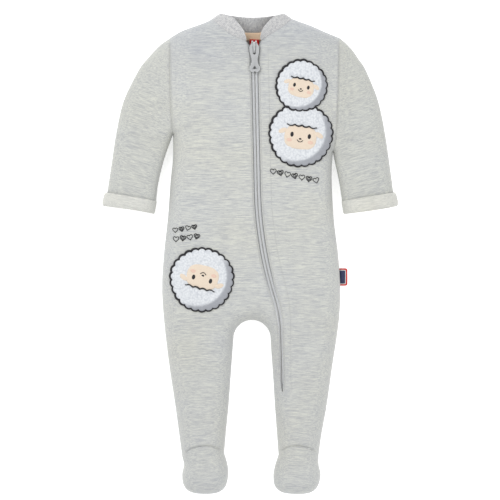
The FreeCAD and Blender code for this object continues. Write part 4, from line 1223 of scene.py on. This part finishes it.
def make_neck_pieces():
    def facing(down, across):
        x = -38 + 80 * across
        top = 621.0 + 6.5 * ((x - 2) / 40) ** 2
        return x, top - 11 * down

    def label(down, across):
        return -1.9 + 12.6 * across + 0.6 * down, 612.4 - 14 * down - 0.6 * across

    def care(down, across):
        return 66 + 28 * across, 345 - 42 * down

    patch_on_back("neck_facing_strip", facing, 6, 28, 0.5, 0.7, M["facing"], "neck_facing", "neck_facing")
    patch_on_back("neck_label_cloth", label, 8, 8, 2.2, 0.4, M["red"], "neck_label", "neck_label", 4.0)
    patch_on_back("care_label_cloth", care, 12, 8, 0.5, 0.35, M["white"], "label_white", "care_label", 1.5)


make_collar()
make_neck_pieces()


# ---------------------------------------------------------------- zip


def zip_level(along):
    """The level of the front panels at the zip's line, and their slope across it."""
    at, across = zip_frame(np.asarray(along, float))
    half = gap_half(along) + 6.0
    right, left = (top_height(at + across * (s * half)[:, None]) for s in (RIGHT, LEFT))
    return (right + left) / 2 - sink(along), (left - right) / (2 * half)


ZIP_ENDS = {"torso": (8.5, ZIP_SPLIT), "leg": (ZIP_SPLIT, ZIP_LENGTH - 3)}


def ride_zip(piece, stretch):
    if stretch == "torso":
        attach(piece, "torso")
    else:
        bend_with_leg(piece)


def spread(along):
    """How far each half of the zip stands aside above the slider."""
    return 1.6 * (1 - ease(along, 6, 15))


def sink(along):
    """How much deeper the zip lies; it comes up a little in the leg, where the panels close beside it."""
    return -0.3 * ease(along, along_at(275), along_at(215))


def strip_mesh(along, low, high, depth_of, thickness, cols=5):
    """A closed strip along the zip between two offsets, at a depth below the panels."""
    level, slope = zip_level(along)
    sections = []
    at, across = zip_frame(along)
    shares = np.linspace(0, 1, cols)
    for n in range(len(along)):
        offsets = low[n] + (high[n] - low[n]) * shares
        plan = at[n] + across[n] * offsets[:, None]
        z = level[n] + slope[n] * offsets + depth_of(offsets)
        top = np.column_stack([plan, z + thickness / 2])
        bottom = np.column_stack([plan, z - thickness / 2])[::-1]
        sections.append(np.vstack([top, bottom]))
    return ribbon(sections)


def make_tapes():
    for stretch, (start, end) in ZIP_ENDS.items():
        along = np.append(np.arange(start, end, 4.0), end)
        aside = spread(along)
        for side, name in NAMES.items():
            near_edge, far_edge = side * (1.3 + aside), side * (gap_half(along) + 4.5)
            if stretch == "leg" and side == RIGHT:
                far_edge = side * (gap_half(along) + 2.6)
            shape = strip_mesh(along, near_edge, far_edge, lambda o: -3.85 + 0 * o, 0.5)
            heap = Heap()
            heap.add(shape)
            piece = heap.piece(f"zip_tape_{name}_{stretch}_cloth", [M["tape"]])
            fix_normals(piece)
            ride_zip(piece, stretch)
            replace(piece, "zip_tape", f"zip_tape_{name}_{stretch}")
        low = np.full(len(along), -9.0 if stretch == "torso" else -4.0)
        high = np.full(len(along), 15.0 if stretch == "torso" else 8.0)
        shape = strip_mesh(along, low, high, lambda o: -5.4 - 0.02 * np.abs(o), 1.2, 7)
        heap = Heap()
        heap.add(shape)
        piece = heap.piece(f"zip_guard_{stretch}_cloth", [M["reverse"]])
        fix_normals(piece)
        ride_zip(piece, stretch)
        replace(piece, "jersey" if stretch == "torso" else "jersey_leg", f"zip_guard_{stretch}")


def make_coils():
    """Each half of the zip is one nylon strand wound into a flattened coil."""
    steps = 10
    for stretch, (start, end) in ZIP_ENDS.items():
        turns = round((end - start) / 1.45)
        phase = np.arange(turns * steps + 1) * 2 * math.pi / steps
        along = start + (end - start) * phase / phase[-1]
        at, across = zip_frame(along)
        coarse = np.append(np.arange(start, end, 6.0), end)
        level, slope = (np.interp(along, coarse, values) for values in zip_level(coarse))
        for side, name in NAMES.items():
            turn = phase + (0 if side == LEFT else math.pi)
            inward = (1 + np.cos(turn)) / 2
            offset = side * (3.5 + spread(along) - 3.0 * inward)
            place = at + across * offset[:, None]
            z = level + slope * offset - 1.55 + 0.62 * np.sin(turn) - 0.75 * inward
            shape = tube(np.column_stack([place, z]), 0.44, 5)
            heap = Heap()
            heap.add(shape)
            piece = heap.piece(f"zip_coil_{name}_{stretch}_nylon", [M["coil"]])
            ride_zip(piece, stretch)
            replace(piece, "zip_coil", f"zip_coil_{name}_{stretch}")


def make_bottom_stop():
    """A staple across both coils, inside the slot in the leg."""
    along = np.full(9, ZIP_LENGTH - 12.0)
    across = np.linspace(-3.4, 3.4, 9)
    plan = zip_offset(along, across)
    level, slope = zip_level(along)
    level = level + slope * across - 1.0 - (across / 3.4) ** 4 * 0.9
    heap = Heap()
    heap.add(tube(np.column_stack([plan, level]), 0.8, 10))
    piece = heap.piece("zip_bottom_stop_staple", [M["metal"]])
    ride_zip(piece, "leg")
    replace(piece, "zip_metal", "zip_bottom_stop")


def make_zip_stitching():
    """Topstitching: one row each side of the zip and the placket's row on its left."""
    for stretch, (start, end) in ZIP_ENDS.items():
        if stretch == "leg":
            end = ZIP_LENGTH - 2
        along = np.append(np.arange(max(start, 8.0), end, 3.0), end)
        heap = Heap()
        rows = [-gap_half(along) - 2.2, gap_half(along) + 2.2]
        placket = 18.5 - 6.0 * ease(along, ZIP_LENGTH - 150, ZIP_LENGTH - 60)
        rows.append(placket)
        for offsets in rows:
            plan = zip_offset(along, offsets)
            row = stitches(on_front(plan, 0.12))
            heap.add((np.vstack(row.points), row.faces))
        piece = heap.piece(f"zip_stitching_{stretch}", [M["grey_thread"]])
        ride_zip(piece, stretch)
        replace(piece, "jersey")


def hardware(node, body, slot, bevel=0.22, material="metal"):
    """A small metal piece of the frame with its edges broken."""
    source = frame["nodes"][node]
    mesh = source.data.copy()
    mesh.materials.clear()
    mesh.materials.append(M[material])
    bm = bmesh.new()
    bm.from_mesh(mesh)
    bmesh.ops.remove_doubles(bm, verts=bm.verts, dist=1e-6)
    bmesh.ops.dissolve_limit(bm, angle_limit=math.radians(3), verts=bm.verts, edges=bm.edges)
    bm.to_mesh(mesh)
    bm.free()
    mesh.attributes.new("rest", "FLOAT_VECTOR", "POINT")
    places = np.zeros(len(mesh.vertices) * 3, np.float32)
    mesh.vertices.foreach_get("co", places)
    mesh.attributes["rest"].data.foreach_set("vector", places / MM)
    piece = bpy.data.objects.new(node + "_finished", mesh)
    bpy.context.scene.collection.objects.link(piece)
    edges = piece.modifiers.new("edges", "BEVEL")
    edges.width = bevel * MM
    edges.segments = 3
    edges.limit_method = "ANGLE"
    edges.angle_limit = math.radians(30)
    edges.harden_normals = False
    for polygon in mesh.polygons:
        polygon.use_smooth = True
    piece.modifiers.new("shading", "WEIGHTED_NORMAL")
    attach(piece, body)
    replace(piece, slot, node)


make_tapes()
make_coils()
make_bottom_stop()
make_zip_stitching()
hardware("slider_body", "zip_slider", "zip_metal", 0.3)
hardware("slider_crown", "zip_slider", "zip_metal", 0.35)
hardware("pull_tab", "pull_tab", "zip_metal", 0.35)
hardware("zip_top_stops", "torso", "zip_metal", 0.2)


# ---------------------------------------------------------------- patches


def lamb_place(node):
    low, high = cad_box(node)
    return (low + high)[:2] / 2, (high - low)[:2].mean() / 2


PATCH_GROWTH = 1.05
LAMBS = {
    "small_lamb": {"bumps": 22, "turn": 0.12, "over": "large_lamb", "tilt": -12},
    "large_lamb": {"bumps": 25, "turn": 0.05, "over": None, "tilt": -8},
    "hip_lamb": {"bumps": 26, "turn": 0.0, "over": None, "tilt": 166},
}
for lamb, facts in LAMBS.items():
    facts["middle"], facts["radius"] = lamb_place(lamb + "_edge")
LAMBS["large_lamb"]["middle"] = LAMBS["small_lamb"]["middle"] + np.array([-1.0, -66.0])
LAMBS["large_lamb"]["radius"] = LAMBS["hip_lamb"]["radius"]
for facts in LAMBS.values():
    facts["radius"] *= PATCH_GROWTH


def scallop(angle, facts):
    """The patch's radius at an angle: round bumps that meet in small dents."""
    wave = np.abs(np.sin(angle * facts["bumps"] / 2 + facts["turn"] * 9))
    uneven = 1 + 0.012 * np.sin(3 * angle + facts["turn"] * 20) + 0.008 * np.sin(5 * angle)
    return facts["radius"] * uneven * (0.948 + 0.052 * wave**0.7) - 1.0


def dome(points, facts, height=3.0):
    """How far a patch's pile stands up at places in the plan; 0 outside it."""
    rel = points - facts["middle"]
    reach = np.linalg.norm(rel, axis=1)
    edge = scallop(np.arctan2(rel[:, 1], rel[:, 0]), facts)
    return height * np.sqrt(np.clip(1 - (reach / edge) ** 4, 0, 1)) * (reach < edge)


def patch_base(points, facts):
    base = top_height(points) + 0.35
    if facts["over"]:
        base = base + dome(points, LAMBS[facts["over"]]) * 0.9
    return base


def make_fleece(label, facts):
    rings = np.concatenate([np.linspace(0.0, 0.86, 22)[1:], [0.91, 0.95, 0.975, 0.99, 1.0]])
    angles = np.linspace(0, 2 * math.pi, facts["bumps"] * 8, endpoint=False)
    rows = []
    for share in rings:
        reach = scallop(angles, facts) * share
        rows.append(facts["middle"] + np.column_stack([np.cos(angles), np.sin(angles)]) * reach[:, None])
    plan = np.vstack([[facts["middle"]], *rows])
    height = dome(plan, facts)
    curls = np.array([noise.noise(Vector((x / 4.2, y / 4.2, 3.0))) for x, y in plan])
    pile = 0.55 * curls * np.clip(height / 3, 0, 1)
    top = np.column_stack([plan, patch_base(plan, facts) + height + pile + 0.1])
    under = np.column_stack([plan, patch_base(plan, facts) - 0.1])
    if label == "large_lamb":
        hidden = dome(plan, LAMBS["small_lamb"]) > 0
        top[hidden, 2] = np.minimum(top[hidden, 2], patch_base(plan[hidden], facts) + 2.4)
    cols, count = len(angles), len(plan)
    faces = [(0, 1 + c, 1 + (c + 1) % cols) for c in range(cols)]
    for r in range(len(rings) - 1):
        for c in range(cols):
            a, b = 1 + r * cols + c, 1 + r * cols + (c + 1) % cols
            faces.append((a, a + cols, b + cols, b))
    lower = [tuple(v + count for v in face[::-1]) for face in faces]
    last = 1 + (len(rings) - 1) * cols
    rim = [(last + c, last + c + count, last + (c + 1) % cols + count, last + (c + 1) % cols) for c in range(cols)]
    piece = add_mesh(f"{label}_fleece_pile", np.vstack([top, under]), faces + lower + rim, [M["fleece"]])
    rel = (plan - facts["middle"]) / facts["radius"]
    away = np.linalg.norm(rel - [-0.15, 0.11], axis=1)
    shade = ease(away, 0.88, 0.96) * ease(rel[:, 0] * 0.75 - rel[:, 1] * 0.66, -0.1, 0.35) * 0.85
    attribute = piece.data.attributes.new("shade", "FLOAT", "POINT")
    attribute.data.foreach_set("value", np.concatenate([shade, shade]).astype(np.float32))
    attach(piece, "torso")
    replace(piece, "fleece", f"{label}_fleece")


def make_edge(label, facts):
    """The embroidered cord round the patch, thicker on one side."""
    angles = np.linspace(0, 2 * math.pi, facts["bumps"] * 14 + 1)
    reach = scallop(angles, facts) + 0.6
    plan = facts["middle"] + np.column_stack([np.cos(angles), np.sin(angles)]) * reach[:, None]
    keep = np.ones(len(angles), bool)
    if label == "large_lamb":
        other = LAMBS["small_lamb"]
        rel = plan - other["middle"]
        keep = np.linalg.norm(rel, axis=1) > scallop(np.arctan2(rel[:, 1], rel[:, 0]), other) - 1.0
    z = patch_base(plan, facts) + 0.75
    width = 1.2 - 0.34 * np.cos(angles + 0.6) + 0.18 * np.sin(angles * 7 + facts["turn"] * 30)
    path = np.column_stack([plan, z])
    heap = Heap()
    runs = np.split(np.arange(len(angles)), np.where(np.diff(keep.astype(int)) != 0)[0] + 1)
    for run in runs:
        if keep[run[0]] and len(run) > 3:
            heap.add(tube(path[run], width[run], 10, 0.75))
    piece = heap.piece(f"{label}_edge_thread", [M["black"]])
    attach(piece, "torso")
    replace(piece, "embroidery", f"{label}_edge")


def face_frame(facts):
    turn = math.radians(facts["tilt"])
    return np.array([[math.cos(turn), math.sin(turn)], [-math.sin(turn), math.cos(turn)]])


def on_lamb(places, facts, lift):
    """Places in a patch's own face frame, in shares of its radius, put on its pile."""
    plan = facts["middle"] + (np.asarray(places, float) * facts["radius"]) @ face_frame(facts)
    return np.column_stack([plan, patch_base(plan, facts) + dome(plan, facts) + lift])


def pad(outline, facts, lift, height):
    """A small domed shape inside an outline given in the face frame."""
    outline = np.asarray(outline, float)
    middle = outline.mean(0)
    count = len(outline)
    shares = (0.0, 0.35, 0.65, 0.85, 0.96, 1.0)
    plan = np.vstack([middle[None], *[middle + (outline - middle) * s for s in shares[1:]]])
    rise = np.concatenate([[height], *[np.full(count, height * math.sqrt(max(0, 1 - s**3))) for s in shares[1:]]])
    top = on_lamb(plan, facts, lift)
    top[:, 2] += rise
    low = on_lamb(plan, facts, lift - 0.5)
    faces = [(0, 1 + c, 1 + (c + 1) % count) for c in range(count)]
    for r in range(len(shares) - 2):
        for c in range(count):
            a, b = 1 + r * count + c, 1 + r * count + (c + 1) % count
            faces.append((a, a + count, b + count, b))
    total = len(plan)
    last = 1 + (len(shares) - 2) * count
    lower = [tuple(v + total for v in face[::-1]) for face in faces]
    rim = [(last + c, last + c + total, last + (c + 1) % count + total, last + (c + 1) % count) for c in range(count)]
    return np.vstack([top, low]), faces + lower + rim


def oval(x, y, wide, tall, power=2.0, count=40, turn=0.0):
    """A rounded outline about a point."""
    angle = np.linspace(0, 2 * math.pi, count, endpoint=False)
    u = wide * np.sign(np.cos(angle)) * np.abs(np.cos(angle)) ** (2 / power)
    v = tall * np.sign(np.sin(angle)) * np.abs(np.sin(angle)) ** (2 / power)
    return np.column_stack([x + u * math.cos(turn) - v * math.sin(turn), y + u * math.sin(turn) + v * math.cos(turn)])


def make_face(label, facts):
    """A plain sheep's face: a soft oval with two ears, dot eyes, a small mouth and a woolly fringe."""
    heap = Heap()
    heap.add(pad(oval(0, -0.08, 0.50, 0.37, 2.8), facts, 0.15, 0.9), 0)
    for side in (-1, 1):
        heap.add(pad(oval(side * 0.57, 0.06, 0.14, 0.075, 2.0, 24, side * -0.5), facts, 0.15, 0.8), 0)
        heap.add(pad(oval(side * 0.33, -0.20, 0.085, 0.055, 2.0, 20), facts, 0.95, 0.25), 1)
    piece = heap.piece(f"{label}_face_felt", [M["felt"], M["blush"]])
    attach(piece, "torso")
    replace(piece, "felt_face", f"{label}_face")
    marks = Heap()
    for side in (-1, 1):
        marks.add(pad(oval(side * 0.27, -0.02, 0.052, 0.078, 2.0, 20), facts, 1.0, 0.5))
    bend = np.linspace(-1, 1, 13)
    smile = np.column_stack([bend * 0.09, -0.225 + 0.06 * bend**2])
    marks.add(tube(on_lamb(smile, facts, 1.25), 0.5, 6))
    marks.add(pad(oval(0, -0.13, 0.045, 0.028, 2.0, 16), facts, 1.0, 0.4))
    curls = np.linspace(-0.47, 0.47, 49)
    fringe = np.column_stack([curls, 0.30 - 0.10 * curls**2 - 0.045 * np.abs(np.sin(curls * 14))])
    marks.add(tube(on_lamb(fringe, facts, 0.8), 0.85 + 0.3 * np.cos(curls * 5), 8))
    piece = marks.piece(f"{label}_face_stitching", [M["black"]])
    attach(piece, "torso")
    replace(piece, "embroidery")


def heart_path(x, y, size, turn):
    angle = np.linspace(0, 2 * math.pi, 29)
    u = 0.54 * np.sin(angle) ** 3
    v = 0.45 * np.cos(angle) - 0.17 * np.cos(2 * angle) - 0.07 * np.cos(3 * angle) - 0.03 * np.cos(4 * angle)
    c, s = math.cos(turn), math.sin(turn)
    return np.column_stack([x + size * (u * c - v * s), y + size * (u * s + v * c)])


def make_hearts(label, places, material):
    """A row of small stitched hearts, each one line of thread, every second one with a smaller heart inside it."""
    heap = Heap()
    for n, (x, y, size) in enumerate(places):
        turn = 0.25 * math.sin(2.4 * n)
        heap.add(tube(on_front(heart_path(x, y, size, turn), 0.45), 0.46 + 0.12 * (n % 2), 6))
        if n % 2:
            heap.add(tube(on_front(heart_path(x, y, size * 0.5, turn), 0.45), 0.42, 6))
    piece = heap.piece(label + "_thread", [material])
    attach(piece, "torso")
    replace(piece, "embroidery", label)


for lamb, facts in LAMBS.items():
    make_fleece(lamb, facts)
    make_edge(lamb, facts)
    make_face(lamb, facts)
make_hearts("chest_heart_row", [(30 + 9.6 * n, 434 - 2.0 * n, 7.4) for n in range(7)], M["black"])
make_hearts("hip_heart_row", [(-102 + 8.6 * n, 355 + 1.4 * n, 6.4) for n in range(4)]
            + [(-101 + 9.4 * n, 343 + 1.2 * n, 7.2) for n in range(4)], M["black"])


# ---------------------------------------------------------------- side label


def make_side_label():
    """A folded woven label, as three stacked slabs: red edge, white field and a navy band."""
    low, high = cad_box("side_label")
    x0, x1, y0, y1 = low[0] - 2.2, high[0] - 0.8, low[1], high[1]
    z = float(middle_height(np.array([[x0, (y0 + y1) / 2]]))[0]) + 0.5
    heap = Heap()

    def layer(margin, slot, lift, thick, radius=2.6):
        corners = []
        w, t = x1 - margin, (y1 - margin)
        for cx, cy, a0 in ((w - radius, t - radius, 0), (x0, t, None), (x0, y0 + margin, None),
                           (w - radius, y0 + margin + radius, -math.pi / 2)):
            if a0 is None:
                corners.append((cx, cy))
            else:
                for a in np.linspace(a0, a0 + math.pi / 2, 7):
                    corners.append((cx + radius * math.cos(a), cy + radius * math.sin(a)))
        outline = np.array(corners)
        droop = -0.012 * (outline[:, 0] - x0) ** 2
        count = len(outline)
        top = np.column_stack([outline, z + lift + thick / 2 + droop])
        bottom = np.column_stack([outline, z + lift - thick / 2 + droop])
        side = [(k, (k + 1) % count, (k + 1) % count + count, k + count) for k in range(count)]
        heap.add((np.vstack([top, bottom]), [tuple(range(count)), tuple(range(count, 2 * count))[::-1], *side]), slot)

    layer(0.0, 0, 0.0, 1.1)
    layer(2.0, 1, 0.0, 1.5, 1.6)
    layer(3.0, 2, 0.0, 1.8, 1.0)
    piece = heap.piece("side_label_cloth", [M["red"], M["white"], M["navy"]])
    fix_normals(piece)
    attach(piece, "side_label")
    replace(piece, "side_label", "side_label")


make_side_label()


# ---------------------------------------------------------------- floor, lights and camera


def make_stage():
    shader = Shader("floor_paper")
    grain = shader.node("ShaderNodeTexNoise", {"Scale": 60.0, "Detail": 3.0}).outputs["Fac"]
    shader.link(shader.mix(grain, linear(251, 251, 251), linear(254, 254, 254)), "Base Color")
    shader.fixed(Roughness=0.95, Specular_IOR_Level=0.0, Emission_Color=(1, 1, 1, 1), Emission_Strength=0.45)
    middle_y = (CAD_LOW.y + CAD_HIGH.y) / 2
    bpy.ops.mesh.primitive_plane_add(size=8.0, location=(0, middle_y, 0))
    floor = bpy.context.object
    floor.name = "floor"
    floor.data.materials.append(shader.material)
    world = bpy.data.worlds.new("studio")
    bpy.context.scene.world = world
    world.use_nodes = True
    background = world.node_tree.nodes["Background"]
    background.inputs["Color"].default_value = (1, 1, 1, 1)
    background.inputs["Strength"].default_value = 0.62
    lights = [
        ("key", (-1.1, 1.2, 1.9), 1.6, 30.0),
        ("fill", (1.5, -0.1, 2.0), 2.2, 16.0),
        ("low", (0.2, -1.9, 1.3), 1.6, 7.0),
    ]
    for name, place, size, power in lights:
        data = bpy.data.lights.new(name, "AREA")
        data.size = size
        data.energy = power
        lamp = bpy.data.objects.new(name, data)
        lamp.location = Vector(place) + Vector((0, middle_y, 0))
        lamp.rotation_euler = (-Vector(place)).to_track_quat("-Z", "Y").to_euler()
        bpy.context.scene.collection.objects.link(lamp)
    bpy.context.scene.view_settings.view_transform = "Standard"
    camera = bpy.data.objects.new("camera", bpy.data.cameras.new("camera"))
    camera.data.lens = 400
    view_width = 0.675
    camera.location = (-0.0013, middle_y + 0.0045, view_width * camera.data.lens / camera.data.sensor_width + 0.018)
    camera.data.clip_end = 20
    bpy.context.scene.collection.objects.link(camera)
    bpy.context.scene.camera = camera


make_stage()


# ---------------------------------------------------------------- what is cloth, and its flat size


# Piece: width and length laid flat, its flat area as a share of the two, how it is held, what it lies on.
# A tube is opened out. The shares fit the areas of the finished meshes. The collar's size is the folded
# one and not its cut's, about 37 by 235, because its two layers are modelled as one closed band.
# The side label's size fits its three stacked slabs.
CUTS = {
    "back_cloth": (245, 405, 0.96, "laid", "floor"),
    "front_right_cloth": (158, 405, 0.79, "laid", "back_cloth"),
    "front_left_cloth": (112, 405, 0.94, "laid", "back_cloth"),
    "collar_cloth": (20, 235, 0.88, "folded", "back_cloth"),
    "neck_facing_strip": (11, 80, 1.0, "laid", "back_cloth"),
    "neck_label_cloth": (13, 14, 1.0, "laid", "neck_facing_strip"),
    "care_label_cloth": (28, 42, 1.0, "laid", "back_cloth"),
    "side_label_cloth": (23, 30, 1.0, "folded", "back_cloth"),
    "zip_guard_torso_cloth": (24, 385, 1.0, "laid", "back_cloth"),
    "zip_guard_leg_cloth": (13, 100, 1.0, "laid", "left_thigh_cloth"),
    "zip_tape_right_torso_cloth": (10, 385, 0.8, "laid", "zip_guard_torso_cloth"),
    "zip_tape_left_torso_cloth": (10, 385, 0.8, "laid", "zip_guard_torso_cloth"),
    "zip_tape_right_leg_cloth": (10, 100, 0.4, "laid", "zip_guard_leg_cloth"),
    "zip_tape_left_leg_cloth": (10, 100, 0.58, "laid", "zip_guard_leg_cloth"),
    "small_lamb_fleece_pile": (70, 70, 0.76, "laid", "front_left_cloth"),
    "large_lamb_fleece_pile": (87, 87, 0.76, "laid", "front_left_cloth"),
    "hip_lamb_fleece_pile": (87, 87, 0.76, "laid", "front_right_cloth"),
}
SIDE_CUTS = {
    "sleeve_cloth": (172, 228, 0.74, "laid", "floor"),
    "thigh_cloth": (240, 126, 0.88, "laid", "floor"),
    "shin_cloth": (146, 66, 0.95, "laid", "floor"),
    "foot_upper_cloth": (78, 84, 0.82, "laid", "floor"),
    "foot_sole_cloth": (68, 78, 0.86, "laid", "floor"),
    "cuff_cloth": (172, 48, 0.95, "folded", "floor"),
}


def declare_cloth():
    cuts = dict(CUTS)
    for name in NAMES.values():
        cuts.update({f"{name}_{part}": cut for part, cut in SIDE_CUTS.items()})


declare_cloth()
